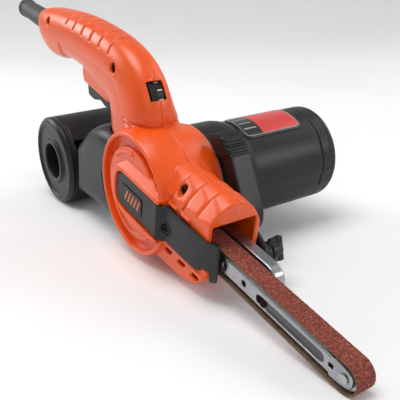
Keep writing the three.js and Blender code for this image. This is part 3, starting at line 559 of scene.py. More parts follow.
# ---- orange shells ----
HANDLE_POWER = 2.7  # exponent of the handle's squarish oval section
FLARE = 6.5  # how much wider the handle's base is on the right
BAND_FALL = 2.4  # how far each hood band falls from its back edge to its front
SHOULDER = half_space(0, -0.75, 0.66, 25.9)  # the facet that slants along the hood's left edge
SHOULDER_BITE = 1.7  # how much deeper the facet cuts at a band's back edge than at its front
RIB_LEDGE = half_space(0, -0.762, 0.648, 27.57)  # the slope that ends the rib round the cover
BANDS = [(-196, -168, -3.0), (-168.5, -153, -1.0), (-153.5, -138, 0), (-138.5, -124, 0.4),
         (-124.5, MOUTH_X, 0.6)]  # x0, x1 and height against the front one
ARCH = [(HOOD_LEFT, -8), (HOOD_LEFT, 25, 3), (-5, 33.5, 5), (4.5, 37, 5), (13, 35.8, 5), (20, 30, 5),
        (HOOD_RIGHT + 1, 18.5, 5), (HOOD_RIGHT, -8)]
SEAM = 0.08  # gap between the two shells
COVER_REAR = [(-215, -12, 11), (-215, 15, 11), (-158, 15), (-158, -12)]


def smooth_rows(rows, per_row):
    """A Catmull-Rom curve through rows of numbers, with per_row steps between neighbours."""
    rows = np.array(rows, float)
    padded = np.vstack([2 * rows[0] - rows[1], rows, 2 * rows[-1] - rows[-2]])
    t = np.arange(per_row)[:, None] / per_row
    spans = [0.5 * (2 * b + (c - a) * t + (2 * a - 5 * b + 4 * c - d) * t ** 2
                    + (3 * b - a - 3 * c + d) * t ** 3)
             for a, b, c, d in zip(padded, padded[1:], padded[2:], padded[3:])]
    return np.vstack([*spans, rows[-1:]])


def handle(inset):
    """The bow handle, from its sections; its back end is closed by a rounded plane."""
    rows = [(*crown, *under, half) for crown, under, half in HANDLE]
    end = np.array(rows[-1])
    line = smooth_rows([*rows, end + (end - np.array(rows[-2])) * 0.8], 10)

    def side(row, x, z):
        return (row[0] - row[2]) * (z - row[3]) - (row[1] - row[3]) * (x - row[2])

    def shape(x, y, z):
        px, pz = np.broadcast_arrays(x, z)
        best = np.full(px.shape, 4.0)
        height, top, half = (np.full(px.shape, value) for value in (40.0, 10.0, 10.0))
        for a, b in zip(line, line[1:]):
            before, after = side(a, px, pz), side(b, px, pz)
            t = np.clip(before / np.where(before == after, 1, before - after), 0, 1)
            cx, cz, ux, uz, width = (a[k] + t * (b[k] - a[k]) for k in range(5))
            length = np.hypot(cx - ux, cz - uz)
            rise = ((px - (cx + ux) / 2) * (cx - ux) + (pz - (cz + uz) / 2) * (cz - uz)) / length
            reach = np.abs(rise) / (length / 2)
            here = (before >= 0) & (after < 0) & (reach < best)
            best = np.where(here, reach, best)
            height = np.where(here, rise, height)
            top = np.where(here, length / 2 - inset, top)
            half = np.where(here, width - inset, half)
        flare = FLARE * fade(pz, 66, 42) ** 2 * fade(px, -240, -220) * fade(pz, 26, 36)
        half = np.where((y > MID_Y) & (inset <= 0), half + flare, half)
        u = np.abs(height / top)
        v = np.abs(y - MID_Y) / half
        power = HANDLE_POWER
        f = np.maximum((u ** power + v ** power) ** (1 / power), 0.25)
        slope = f ** (1 - power) * np.hypot(u ** (power - 1) / top, v ** (power - 1) / half)
        oval = np.clip((f - 1) / np.maximum(slope, 1e-3), -FAR, FAR)
        back = side(end, px, pz) / math.hypot(end[0] - end[2], end[1] - end[3]) + inset
        return soft_max(oval, back, 3).astype(np.float32)
    return shape


def dome(inset, face=0):
    """The round body; face moves its left face inwards."""
    return turned(MX, 0, [
        (0, DISC_Y + face), (DISC_R - inset, DISC_Y + face, 1.2), (46 - inset, -8, 6), (46.2 - inset, 5, 8),
        (44.8 - inset, 18, 8), (42.8 - inset, 28, 6), (40.8 - inset, DOME_Y + inset), (0, DOME_Y + inset),
    ])


def hood_band(x0, x1, drop, inset=0):
    """One band of the hood, highest at its back edge, its left shoulder shaved to a slanted facet."""
    def shape(x, y, z):
        travel = fade(x, x0, x1)
        roll = fade(travel, 0.76, 1) ** 2 if x1 < MOUTH_X else 0
        level = z - drop + BAND_FALL * (0.5 * travel + roll)
        arch = polygon(ARCH, y, level)
        facet = SHOULDER(x, y, level) + SHOULDER_BITE * (1 - travel)
        return soft_max(soft_max(arch, facet, 0.5) + inset, between(x, x0, x1 - inset), 0.3)
    return shape


def guard(inset):
    """The lower lip of the hood, under the belt."""
    return along_y([
        (-199, -43.5 + inset), (-172, -34 + inset, 4), (-140, -32 + inset, 6), (-122, -26.5 + inset, 5),
        (MOUTH_X + 1.2 - inset * 0.6, -15 + inset), (MOUTH_X + 1.2 + (2 if inset else 0), -7), (-199, -7),
    ], HOOD_LEFT + inset, HOOD_RIGHT - inset, 0 if inset else 1.5)


def spun(start, end, profile):
    """A solid of revolution about the line from start to end; profile holds (radius, distance)."""
    axis = (Vector(end) - Vector(start)).normalized()

    def shape(x, y, z):
        dx, dy, dz = x - start[0], y - start[1], z - start[2]
        along = dx * axis.x + dy * axis.y + dz * axis.z
        radius = np.sqrt(np.maximum(dx * dx + dy * dy + dz * dz - along * along, 0))
        return polygon(closed(profile), radius, along)
    return shape


SLEEVE = ((-395, MID_Y, 62), (-454, MID_Y, 60))


def dial_way():
    """The slot and the drum that the speed dial turns in."""
    window = block((6, MID_Y - 6.2, -7), (30, MID_Y + 6.2, 7))
    drum = rod(0, 0, 13.1, MID_Y - 7, MID_Y + 7)

    def whole(x, y, z):
        return np.minimum(window(x, y, z), np.maximum(drum(x, y, z), x - 10.4))
    return placed(whole, (DIAL.x, DIAL.z), DIAL_TILT)


def dish(centre, normal, radius, depth):
    """A shallow round hollow: the part of a large ball that dips depth below centre."""
    ball = radius ** 2 / (2 * depth) + depth / 2
    middle = np.array(centre) + np.array(normal) * (ball - depth)
    return lambda x, y, z: np.sqrt((x - middle[0]) ** 2 + (y - middle[1]) ** 2
                                   + (z - middle[2]) ** 2) - ball


def arc(cx, cz, r0, r1, start, end):
    """A flat arc band between two radii and two angles in degrees."""
    turns = np.linspace(start, end, 20)
    return ring(cx, cz, r1, turns) + ring(cx, cz, r0, turns[::-1])


def disc_face(body):
    """The round left face: a deep ring groove, a sunk middle and the raised rib round the cover."""
    low, high = (-247, -26, -47), (-110, -9, 47)
    groove = turned(MX, 0, [(33.4, -11.8), (34.4, -26), (41.7, -26), (40.9, -11.8)])
    body.cut(groove, 1.2, low, high)
    body.cut(rod(MX, 0, 34, -26, DISC_Y + 1.3), 0.8, low, high)
    body.cut(turned(MX, 0, [(25.4, -14.8), (26.2, -26), (29.6, -26), (30.4, -14.8)]), 1, low,
             (high[0], high[1], -9))
    rib = along_y([(-222, -8, 11), (-221, 9, 11), (-209, 24.5, 9), (-173, 24.5, 2), (-157.5, 17.5),
                   (-157.5, -15), (-206, -17.5, 10)], -21.3, DISC_Y + 6, 1)
    body.add(lambda x, y, z: soft_max(rib(x, y, z), RIB_LEDGE(x, y, z), 0.5), 0.4, low, high)
    arrow = arc(MX, 0, 29.4, 31.2, 98, 140)
    tip = [(MX + r * math.cos(a), r * math.sin(a)) for r, a in ((28.3, 1.72), (32.2, 1.72), (30.2, 1.56))]
    for mark in (arrow, tip):
        body.add(along_y(mark, DISC_Y - 0.3, DISC_Y + 3), 0.4, low, high)
    body.cut(grown(along_y(COVER_REAR, -40, DISC_Y), 0.7), 0, low, high)


def handle_detail(body):
    """The sunk side panels, the grip grooves, the seam above the body and the dial's dish."""
    panel = [(-345, 40), (-345, 62), (-309, 66, 9), (-283, 68, 20), (-247, 67.5, 12), (-236, 59, 10),
             (-231, 50, 8), (-226, 41), (-231, 14), (-262, 2), (-300, 36)]
    for low_y, high_y in ((-12, MID_Y - 9), (MID_Y + 9, 30)):
        body.engrave(along_y(panel, low_y, high_y), 0.7, (-350, -12, 0), (-222, 30, 72))
    for x in np.arange(-259, -338, -14.6):
        body.engrave(along_y([(x - 0.9, 80), (x + 0.9, 80), (x + 0.5, 96), (x - 1.3, 96)], -6, 22), 0.9,
                     (x - 4, -10, 76), (x + 4, 26, 95))
    for z in (41.2, 44.6):
        body.engrave(block((-229, -12, z), (-196, 30, z + 1.1)), 0.8, (-232, -12, 38), (-194, 30, 48))
    lean = (math.cos(DIAL_TILT), 0, math.sin(DIAL_TILT))
    out = 14.6  # from the dial's axis to the middle of the dish
    middle = (DIAL.x + out * lean[0], MID_Y, DIAL.z + out * lean[2])
    body.cut(dish(middle, lean, 13, 2.1), 0.3, (-235, -8, 48), (-195, 24, 88))


def hood_detail(body):
    """Creases that run down the left wall of the hood, a short ledge by each, and the guard's slots."""
    for x in (-168, -153, -138):
        crease = [(x - 0.4, 26), (x + 0.9, 26), (x - 3.2, 18), (x - 4.6, 18)]
        body.cut(along_y(crease, -16, HOOD_LEFT + 1.7), 0.3, (x - 8, -15, 14), (x + 4, -8, 30))
        body.add(block((x - 3.5, HOOD_LEFT - 1.4, 15.4), (x + 6, HOOD_LEFT + 1, 17)), 0.4,
                 (x - 8, -15, 13), (x + 9, -9, 19))
    for x in (-160, -144, -128):
        body.cut(along_y([(x, -22.5), (x + 3, -18.5), (x + 11, -18.5), (x + 8, -22.5)], -20, 3), 0.5,
                 (x - 2, -16, -26), (x + 14, 6, -15))
    body.add(along_y([(-170, -17.5), (-170, -13.2), (-112, -13.2), (-112, -16.5)], HOOD_LEFT - 1.6,
                     HOOD_LEFT + 1.5, 0.8), 0.3, (-172, -17, -20), (-108, -9, -11))


def housing():
    """Both shells in one piece: the outside and its details, hollowed out, then walls and openings."""
    step = 0.7
    low, high = (-405, -22, -47), (-109, 35, 93)
    grip = ((-406, -10, -10), (-190, 26, 93))
    nose = ((-200, -15, -46), (-109, 29, 39))
    body = Solid(low, high, step)
    body.add(dome(0)).add(handle(0), 1.5, *grip)
    for band in BANDS:
        body.add(hood_band(*band), 0, *nose)
    body.add(guard(0), 0, *nose)
    beak = [(-308, 56), (-309.5, 49), (-305.5, 41.8, 1.5), (-262, 40, 3), (-256, 56)]
    body.add(along_y(beak, MID_Y - 12, MID_Y + 12, 2), 1, (-314, -8, 36), (-250, 24, 60))
    outer = body.copy()
    disc_face(body)
    handle_detail(body)
    hood_detail(body)
    hollow = Solid(low, high, step)
    hollow.add(dome(WALL, 8)).add(handle(WALL), 0, *grip)
    hollow.add(hood_band(-200, MOUTH_X, -4.5, WALL), 0, *nose).add(guard(WALL), 0, *nose)
    body.distance = np.maximum(body.distance, -hollow.distance)

    inside = Solid(low, high, step)
    inside.add(rod(MX, 0, 43, MID_Y + 2, MID_Y + 4.5))
    inside.cut(turned(MX, 0, oblong(18, 0, 26, 30)))
    inside.cut(block((-175, 0, -9.6), (MX + 60, 30, 9.6)))
    for turn in (30, 150, 270):
        inside.add(placed(block((10, MID_Y + 2, -2.5), (30, MID_Y + 4.5, 2.5)), (MX, 0), math.radians(-turn)))
    inside.add(rod(MX, 0, 14, MID_Y + 2, MID_Y + 10))
    for x, z, seat in SHELL_SCREWS:
        inside.add(rod(x, z, 4.4, seat - 2.5, MID_Y + 16))
    body.distance = np.minimum(body.distance, np.maximum(inside.distance, outer.distance + 0.4))

    # The trigger's slot, the dial's way, the sleeve's seat, the belt's way, the mouth and its floor, the
    # way to the duct, the shaft's hole and the bearing's seat.
    body.cut(block((-315, MID_Y - 8, 30), (-262.5, MID_Y + 8, 56.5)), 0.6, (-318, -3, 26), (-258, 19, 60))
    body.cut(dial_way(), 0.4, (-240, -2, 42), (-190, 18, 90))
    body.cut(spun(*SLEEVE, [(0, -2), (10, -2), (10, 3.2), (7.8, 3.2), (7.8, 20), (0, 20)]), 0.4,
             (-410, -5, 45), (-388, 21, 80))
    body.cut(block((-211, -20, -8.7), (-104, HOOD_LEFT + WALL + 4, 11.7)), 0, (-214, -23, -12), (-100, 0, 15))
    body.cut(block((-125, -9.6, -40), (-105, 22.8, 22)), 0.8, (-128, -13, -44), (-100, 26, 26))
    body.cut(block((-150, -9.6, -17), (-105, HOOD_RIGHT - WALL, -5)), 0, (-153, -12, -20), (-100, 26, -2))
    body.cut(block((-262, MID_Y + 8, -30), (MX - 20, MID_Y + 22, 2)), 0, (-266, 12, -34), (MX - 15, 34, 6))
    body.cut(rod(MX, 0, 5, -30, 60), 0, *around(MX, 0, 8, -20, 36))
    body.cut(rod(MX, 0, 11 + GAP, MID_Y + 2.6, MID_Y + 12), 0, *around(MX, 0, 14, 6, 24))
    for x, z, seat in SHELL_SCREWS:
        body.cut(rod(x, z, 3.7, -40, seat), 0.6, *around(x, z, 7, -22, 12))
        body.cut(rod(x, z, SCREW_HOLE, seat - 1, seat + 22), 0, *around(x, z, 3, -10, 30))
    body.add(block((-157, HOOD_LEFT + 0.2, -10), (-147, HOOD_LEFT + 3.2, 12.5)), 0, (-160, -16, -14),
             (-144, -6, 16))
    body.cut(rod(*COVER_SCREW, SCREW_HOLE, -30, 0), 0, *around(*COVER_SCREW, 3, -16, 0))
    return body


def shells():
    """The housing split at the parting plane, with the seam left open between the halves."""
    body = housing()
    y = body.axes[1][None, :, None]
    for name, side in (("left_shell", 1), ("right_shell", -1)):
        plane = MID_Y - side * SEAM / 2
        half = body.copy()
        half.distance = np.maximum(half.distance, side * (y - plane))
        finish_piece(half.skin(name + "_skin", body, plane), name)


# ---- belt cover ----
COVER_SLANT = half_space(-0.297, 0.95, 0.094, 20.96)  # the slanted cut across the cover's outer face


def belt_cover():
    cover = Solid((-216, -21, -19), (-102, -8, 16), 0.42)
    cover.add(along_y(COVER_REAR, -20.3, DISC_Y - GAP, 2))
    cover.engrave(grown(along_y(COVER_REAR, -30, DISC_Y - GAP), -2.3), 0.45)
    front = [(-166, -11.5), (-166, 14.2), (-103, 14, 2), (-103, -12, 2)]
    cover.add(along_y(front, -16.4, HOOD_LEFT - GAP, 1.6), 0.4)
    cover.add(along_z([(-164, -20.3), (-158, -20.3), (-154, -16.4), (-154, HOOD_LEFT - GAP),
                       (-164, HOOD_LEFT - GAP)], -12, 14.5, 1))
    cover.add(along_y([(-156, -8.2), (-156, 11.2), (-104, 11.2), (-104, -8.2)], -15, -10.2))
    cover.add(along_x([(-16.4, -11.5), (-16.4, 14, 2), (-8.6, 14), (-8.6, -15, 3), (-12, -17, 2)],
                      MOUTH_X + 2 + GAP, -103, 1.2), 0.6)
    bow = [(-146, -18), (-100, -18), (-100, -12.8), (-110, -13.5, 10), (-126, -15.6, 12), (-146, -16.5)]
    cover.cut(along_z(bow, -30, 30), 0.6)
    cover.cut(along_y([(-159.5, 20), (-158.6, 20), (-158.6, -20), (-159.5, -20)], -30, -19.4), 0.3)
    cover.cut(COVER_SLANT, 0.5)
    cover.cut(dome(-GAP))
    cover.add(rod(*COVER_SCREW, 5.4, -17, HOOD_LEFT - GAP))
    cover.cut(rod(*COVER_SCREW, SCREW_HOLE, -30, 0))
    cover.cut(turned(*COVER_SCREW, [(0, -14.8), (4, -14.8), (4, -16), (5, -30), (0, -30)]), 0.5)
    cover.cut(block((-205.4, -30, -6.4), (-178.6, -19.7, 7.4)))
    finish_piece(cover.skin("belt_cover_skin"), "belt_cover")


def badge():
    """A plain inlay with a row of slanted bars."""
    plate = Solid((-206, -21.4, -7), (-178, -19.6, 8), 0.24)
    plate.add(along_y([(-205, -6, 1.5), (-205, 7, 1.5), (-179, 7, 1.5), (-179, -6, 1.5)], -20.5, -20, 0.3))
    for i in range(5):
        x = -202 + 4.2 * i
        plate.add(along_y([(x, -3.6, 0.6), (x + 3.4, 4.6, 0.6), (x + 5.4, 4.6, 0.6), (x + 2, -3.6, 0.6)],
                          -20.95, -20.2, 0.3), 0.2)
    piece = plate.skin("badge_inlay")
    finish_piece(piece, "badge_plate", finish=MATERIALS["black_plastic"])
    paint(piece, [MATERIALS["badge_orange"]], lambda x, y, z: y < -20.62)


# ---- motor ----
FLAT = block((MX + CAN_R - 1.2, 66, -60), (MX + 60, 200, -0.5))  # along the front of can and cap
CAP_SCREWS = ring(MX, 0, 31.6, (-45, -225))
CAP_BOSS = 3.6


def motor_housing():
    neck = 11 + GAP
    can = Solid((MX - 41, 33, -41), (MX + 41, 132, 41), 0.8)
    can.add(turned(MX, 0, [
        (neck, DOME_Y + GAP), (COLLAR_R, DOME_Y + GAP, 0.8), (COLLAR_R, 56, 1.5), (38.6, 61, 2),
        (CAN_R, 66, 3), (CAN_R, CAP_SEAM - GAP, 0.6), (CAN_BORE, CAP_SEAM - GAP), (CAN_BORE, DOME_Y + 3),
        (neck, DOME_Y + 3),
    ]))
    can.cut(FLAT, 0.5)
    can.cut(block((MX + CAN_R - 0.9, 66, -1.1), (MX + 60, 200, 0.1)), 0.3)
    can.engrave(rod(MX, 0, 60, 57.2, 58.3), 0.5)
    for turn in range(0, 360, 60):
        can.cut(placed(block((16, 20, -4), (28, CAN_R + 1, 4)), (MX, 0), math.radians(turn)))
    can.add(turned(MX, 0, oblong(29.5, 63, 35, 65.7)))
    for screw in CAP_SCREWS:
        boss = turned(*screw, oblong(SCREW_HOLE, 116, CAP_BOSS, CAP_SEAM - GAP))
        can.add(boss, 0, *around(*screw, 5, 112, 132))
    finish_piece(can.skin("motor_can"), "motor_housing")


def motor_end_cap():
    cap = Solid((MX - 38, 130, -38), (MX + 38, 147, 38), 0.5)
    cap.add(turned(MX, 0, [
        (CAN_BORE, CAP_SEAM), (CAN_R, CAP_SEAM, 0.5), (CAN_R, 143.4, 2.5), (35, 145.6, 1.5),
        (32.5, MOTOR_END, 0.5), (0.01, MOTOR_END), (0.01, 144), (14, 144), (14, 137), (11.3, 137),
        (11.3, 133), (14.5, 133), (14.5, 141), (30, 142.4), (CAN_BORE, 139),
    ]))
    for screw in CAP_SCREWS:
        cap.add(rod(*screw, CAP_BOSS, CAP_SEAM, 142.5))
        cap.cut(rod(*screw, SCREW_HOLE, 100, 160))
        cap.cut(rod(*screw, 3.3, 143.4, 160))
    for turn in (-60, -20, 20, 60, 120, 160, 200, 240):
        cap.cut(placed(block((18, 138, -2), (27, 160, 2)), (MX, 0), math.radians(-turn - 10)), 0.6)
    cap.engrave(rod(MX, 0, 60, 139.4, 140.2), 0.35)
    cap.cut(FLAT, 0.5)
    finish_piece(cap.skin("motor_cap"), "motor_end_cap")


def motor_label():
    """A thin skin on top of the can: a dark part with a thin outline, and a plain red part."""
    low, high, seam = 67, 121, 84
    patch = oblong(MX - 15, low, MX + 17, high, 6)
    inner = oblong(MX - 13, low + 2, MX + 15, high - 2, 4)
    skin = Solid((MX - 16, low - 1, 30), (MX + 18, high + 1, 39), 0.36)
    skin.add(turned(MX, 0, oblong(CAN_R + GAP, 60, CAN_R + GAP + 0.5, 130)))
    skin.distance = np.maximum(skin.distance, polygon(patch, *np.ix_(*skin.axes)[:2]))
    piece = skin.skin("motor_label_skin")
    finish_piece(piece, "motor_label")

    def choose(x, y, z):
        edge = polygon(inner, x, y)
        dark = (y < seam) | (edge > 0)
        bars = (y < seam - 2) & (edge < -2) & (np.abs((x - MX - 1) % 7 - 3.5) > 2.9)
        line = np.abs(edge - 0.1) < 0.28
        return np.where(line | bars, 2, np.where(dark, 1, 0))
    paint(piece, [MATERIALS["label_black"], MATERIALS["label_line"]], choose)


# ---- belt, arm and its controls ----
BELT_MID_R = 8.9  # from a roller's axis to the middle of the cloth
BELT_HALF = 6.5
CLOTH_HALF = 0.5  # half the belt's thickness
GRIT = 0.26  # deepest dip between the grains


def sanding_belt():
    """A cloth loop with its grit as real bumps on the outside."""
    run, bend = -MX, math.pi * BELT_MID_R
    across, stations = 34, 1180
    grit = np.random.default_rng(11).random((stations, across)) * GRIT
    s = np.linspace(0, 2 * (run + bend), stations, endpoint=False)
    nose = np.clip((s - run) / BELT_MID_R, 0, math.pi)
    back = np.clip((s - 2 * run - bend) / BELT_MID_R, 0, math.pi)
    angle = math.pi / 2 - nose - back
    forward = np.clip(s, 0, run) - np.clip(s - run - bend, 0, run)
    normal = np.stack([np.cos(angle), np.sin(angle)], 1)
    middle = np.stack([MX + forward, np.zeros(stations)], 1) + normal * BELT_MID_R
    outer = np.linspace(-BELT_HALF, BELT_HALF, across)
    columns = [(y, CLOTH_HALF - grit[:, i]) for i, y in enumerate(outer)]
    columns += [(y, np.full(stations, -CLOTH_HALF)) for y in np.linspace(BELT_HALF, -BELT_HALF, 6)]
    rings = []
    for y, lift in columns:
        at = middle + normal * lift[:, None]
        rings.append(np.stack([at[:, 0], np.full(stations, y), at[:, 1]], 1))
    points = np.stack(rings, 1).reshape(-1, 3)
    wide = len(columns)
    i, j = np.meshgrid(np.arange(stations), np.arange(wide), indexing="ij")
    ahead, over = (i + 1) % stations, (j + 1) % wide
    faces = np.stack([i * wide + j, ahead * wide + j, ahead * wide + over, i * wide + over], -1)
    piece = mesh_object("belt_loop", points, faces.reshape(-1, 4))
    finish_piece(piece, "sanding_belt")
    piece.data.materials.append(BACKING)
    piece.data.polygons.foreach_set("material_index", (j.ravel() >= across - 1).astype(np.int32))


def pill(x0, z0, x1, z1, radius, low, high):
    """A slot with round ends, along Y."""
    def shape(x, y, z):
        dx, dz = x1 - x0, z1 - z0
        t = np.clip(((x - x0) * dx + (z - z0) * dz) / (dx * dx + dz * dz), 0, 1)
        return np.maximum(np.hypot(x - x0 - t * dx, z - z0 - t * dz) - radius, between(y, low, high))
    return shape


def arm_bar():
    bar = Solid((-153, -7, -9), (6, 7, 9), 0.4)
    bar.add(along_y([
        (-152, -6.5, 2), (-152, 7.4, 2), (-12, 7.4, 3), (-3, 6.2, 3), (5.5, 4.5, 4), (5.5, -4.5, 4),
        (-3, -6.2, 3), (-14, -6.8), (-60, -6.8),
    ], -6, 6, 0.8))
    bar.cut(block((-14, -4.3, -20), (20, 4.3, 20)))
    bar.cut(block((-145, -4.3, -20), (-13.9, 4.3, 5.9)))
    bar.cut(block((-150, -10, 6.1), (-8, -4.6, 9)), 0.3)
    bar.cut(block((-150, -10, -9), (-10, -3, -5.3)), 0.3)
    bar.cut(pill(-66, -0.8, -18, -0.5, 3.3, -8, -4.75), 0.4)
    bar.cut(pill(-68, -0.8, -65, -0.8, 3, -10, -3), 0.4)
    for x, radius in ((-102, 2), (-83, 2.2)):
        bar.cut(rod(x, 0, radius, -10, -3), 0.6)
    bar.cut(turned(-93, 0.4, oblong(0, -5.7, 2.4, -10)), 0.3)
    bar.cut(rod(0, 0, 2, -20, 20))
    bar.cut(block((-11.5, -10, -1.8), (-8, -3, 1.6)), 0.5)
    for z, height in ((5.2, 0.9), (-5.4, 0.7)):
        bar.engrave(block((-100, -10, z), (-10, -5, z + height)), 0.35)
    for bolt in ARM_BOLTS:
        bar.cut(rod(*bolt, BOLT_HOLE, 3, 8))
    piece = bar.skin("arm_casting")
    finish_piece(piece, "arm_bar")

    # The floor of the long groove is painted in a darker aluminium: painted shade where the groove is deep.
    def painted_shade_in_groove(x, y, z):
        sunk = (y > -5.4) & (y < -3.9)
        return sunk & (x > -71) & (x < -14) & (np.abs(z + 0.7) < 3.7)
    paint(piece, [MATERIALS["recess_painted_shade"]], painted_shade_in_groove)


def support_bar():
    bar = Solid((-169, 6, -11), (-71, 17, 10), 0.45)
    bar.add(along_y([(-168, -7, 1), (-168, 9.2, 1), (-78, 9.2, 6), (-72, 4, 8), (-72, -9, 8), (-88, -10, 8),
                     (-94, -6)], 8.9, 17, 1.2))
    for bolt in ARM_BOLTS:
        bar.add(rod(*bolt, 4.6, 6 + GAP, 10))
        bar.cut(rod(*bolt, BOLT_HOLE, 0, 30))
        bar.cut(rod(*bolt, 4.3, 14, 30), 0.4)
    finish_piece(bar.skin("support_rail"), "support_bar")


def rollers():
    nose = Solid((-9, -5, -9), (9, 5, 9), 0.3)
    nose.add(turned(0, 0, [(2.2, -3.9), (7.8, -3.9, 0.5), (8.1, -2), (8.1, 2), (7.8, 3.9, 0.5), (2.2, 3.9)]))
    finish_piece(nose.skin("nose_wheel"), "nose_roller")
    drive = Solid((MX - 9, -7.5, -9), (MX + 9, 7.5, 9), 0.35)
    crown = [(3.3, -6.8), (7.7, -6.8, 0.4), (8.1, -3), (8.1, 3), (7.7, 6.8, 0.4), (3.3, 6.8)]
    drive.add(turned(MX, 0, crown))
    for groove in ring(MX, 0, 8.5, range(0, 360, 15)):
        drive.cut(rod(*groove, 0.7, -20, 20), 0, *around(*groove, 2, -9, 9))
    finish_piece(drive.skin("drive_wheel"), "drive_roller")


def tension_bracket():
    plate = Solid((-157, 26, -19), (-101, 36, 13), 0.45)
    plate.add(along_y([(-156, -14, 4), (-156, 10, 5), (-141, 13, 8), (-116, 6, 8), (-102, -2, 5),
                       (-102, -15, 5), (-124, -18, 5)], HOOD_RIGHT + 1 + GAP, 31, 1.2))
    for centre in (LEVER, KNOB):
        plate.add(rod(centre.x, centre.z, 6.5, 28, 35 if centre is KNOB else 32.8, 1), 1)
        plate.cut(rod(centre.x, centre.z, PIVOT_HOLE, 0, 60), 0.4)
    finish_piece(plate.skin("bracket_plate"), "tension_bracket")


def tension_lever():
    """The quick-release lever: a hub, a tapering blade and a ribbed thumb pad."""
    low, high, pad_low = 33.2, 50, 31.5
    lever = Solid((-184, pad_low - 1, -12), (-131, high + 1, 51), 0.38)
    lever.add(along_y([
        (-149.5, -4, 6), (-143, -11.5, 6), (-134, -9, 6), (-133, 3, 6), (-140, 14, 6), (-158, 40.5, 4),
        (-168, 49.5, 4), (-182, 44, 3), (-176, 35, 3), (-166, 33, 4), (-149, 10, 8),
    ], low, high, 1.6))
    lever.add(along_y([(-158, 40, 3), (-168, 49, 4), (-181, 44, 3), (-176, 36, 3), (-166, 34, 4)], pad_low,
                      high, 1.6))
    pad = smooth_rows([(-157.5, 39.4), (-162, 44.6), (-168.5, 48.2), (-175, 46.6), (-181, 43.8)], 12)
    steps = np.hypot(*np.diff(pad, axis=0).T)
    travel = np.concatenate([[0], steps.cumsum()])
    for s in np.linspace(0, travel[-1], 8):
        x, z = (np.interp(s, travel, column) for column in pad.T)
        ridge = rod(x, z, 1.05, pad_low + 0.6, high - 0.6, 0.8)
        lever.add(ridge, 0.4, *around(x, z, 4, pad_low - 2, high + 2))
    lever.cut(rod(LEVER.x, LEVER.z, PIVOT_HOLE, 0, 80))
    lever.engrave(along_y([(-147, 2, 4), (-136, 3, 4), (-143, 14, 4), (-158, 36, 3), (-163, 33, 3),
                           (-150, 12, 6)], 48, 60), 0.7)
    finish_piece(lever.skin("release_lever"), "tension_lever")


def tracking_knob():
    knob = Solid((KNOB.x - 10, 28, KNOB.z - 10), (KNOB.x + 10, 47, KNOB.z + 10), 0.3)
    knob.add(rod(KNOB.x, KNOB.z, 6.8, 35 + GAP, 39.5, 0.8)).add(rod(KNOB.x, KNOB.z, 3, 28.5, 36))
    centre = (KNOB.x, KNOB.z)
    turn = math.radians(20)
    knob.add(placed(block((-1.7, 37, -8), (1.7, 46, 8)), centre, turn), 0.8)
    knob.add(placed(along_y(oblong(-2.3, -8.4, 2.3, 8.4, 1), 42.4, 46.4, 0.8), centre, turn), 0.5)
    knob.add(rod(KNOB.x, KNOB.z, 4, 38, 45.5, 1), 1)
    finish_piece(knob.skin("knob_body"), "tracking_knob")


# ---- dust extraction ----
def dust_duct():
    def outline(inset):
        return [(-302, -54 + inset), (-252, -45.5 + inset, 3), (-226, -42.5 + inset), (-226, 27 - inset),
                (-254, 28 - inset, 16), (-279, 17 - inset, 22), (-302, -8 - inset)]
    low, high = DISC_Y + 2.5, 27
    duct = Solid((-308, low - 1, -55), (-225, high + 1, 30), 0.62)
    duct.add(along_y(outline(0), low, high, 15))
    duct.cut(along_y(outline(WALL), low + WALL, high - WALL, 13))
    duct.add(along_y(arc(MX, 0, 50.5, 51.6, 188, 212), low - 0.5, low + 1.5), 0.6)
    for clearance in (dome(-GAP), handle(-GAP), rod(DUST_X, DUST_Z, DUST_R + GAP, -60, 90)):
        duct.cut(clearance)
    finish_piece(duct.skin("duct_body"), "dust_duct")


def dust_can():
    edge = DUST_END
    can = Solid((DUST_X - 39, -13, DUST_Z - 39), (DUST_X + 39, edge + 1, DUST_Z + 39), 0.66)
    can.add(turned(DUST_X, DUST_Z, [
        (DUST_R, -12), (DUST_R, edge - 3, 2), (DUST_R - 3, edge, 2), (0.01, edge), (0.01, edge - WALL),
        (DUST_R - 4, edge - WALL), (DUST_R - WALL, edge - 5), (DUST_R - WALL, -12),
    ]))
    can.engrave(rod(DUST_X, DUST_Z, 60, 36, 37.2), 0.5)
    can.engrave(rod(DUST_X, DUST_Z, 60, -9.6, -8.8), 0.4)
    can.cut(block((DUST_X + 10, -8, -44), (DUST_X + 60, 20, -14)))
    finish_piece(can.skin("can_body"), "dust_can")


def dust_can_cover():
    face, inner = DISC_Y, DUST_R - WALL
    cover = Solid((DUST_X - 39, face - 1.5, DUST_Z - 39), (DUST_X + 39, 17, DUST_Z + 39), 0.52)
    cover.add(turned(DUST_X, DUST_Z, [
        (DUST_R, -12 - GAP), (DUST_R, face + 2.6, 1.4), (DUST_R - 2.8, face, 1), (DUST_R - 5.5, face, 0.6),
        (DUST_R - 6.5, face + 1.6, 0.6), (OUTLET_R + 4.6, face + 1.6, 0.6), (OUTLET_R + 3.6, face - 0.6, 0.6),
        (OUTLET_R + 0.8, face - 0.6, 0.6), (OUTLET_R, face, 0.6), (OUTLET_R, 16), (OUTLET_R + 1.8, 16),
        (OUTLET_R + 1.8, face + 4.2), (inner - 2, face + 4.2), (inner - 2, -9), (inner - GAP, -9),
        (inner - GAP, -12 - GAP),
    ]))
    finish_piece(cover.skin("can_lid"), "dust_can_cover")


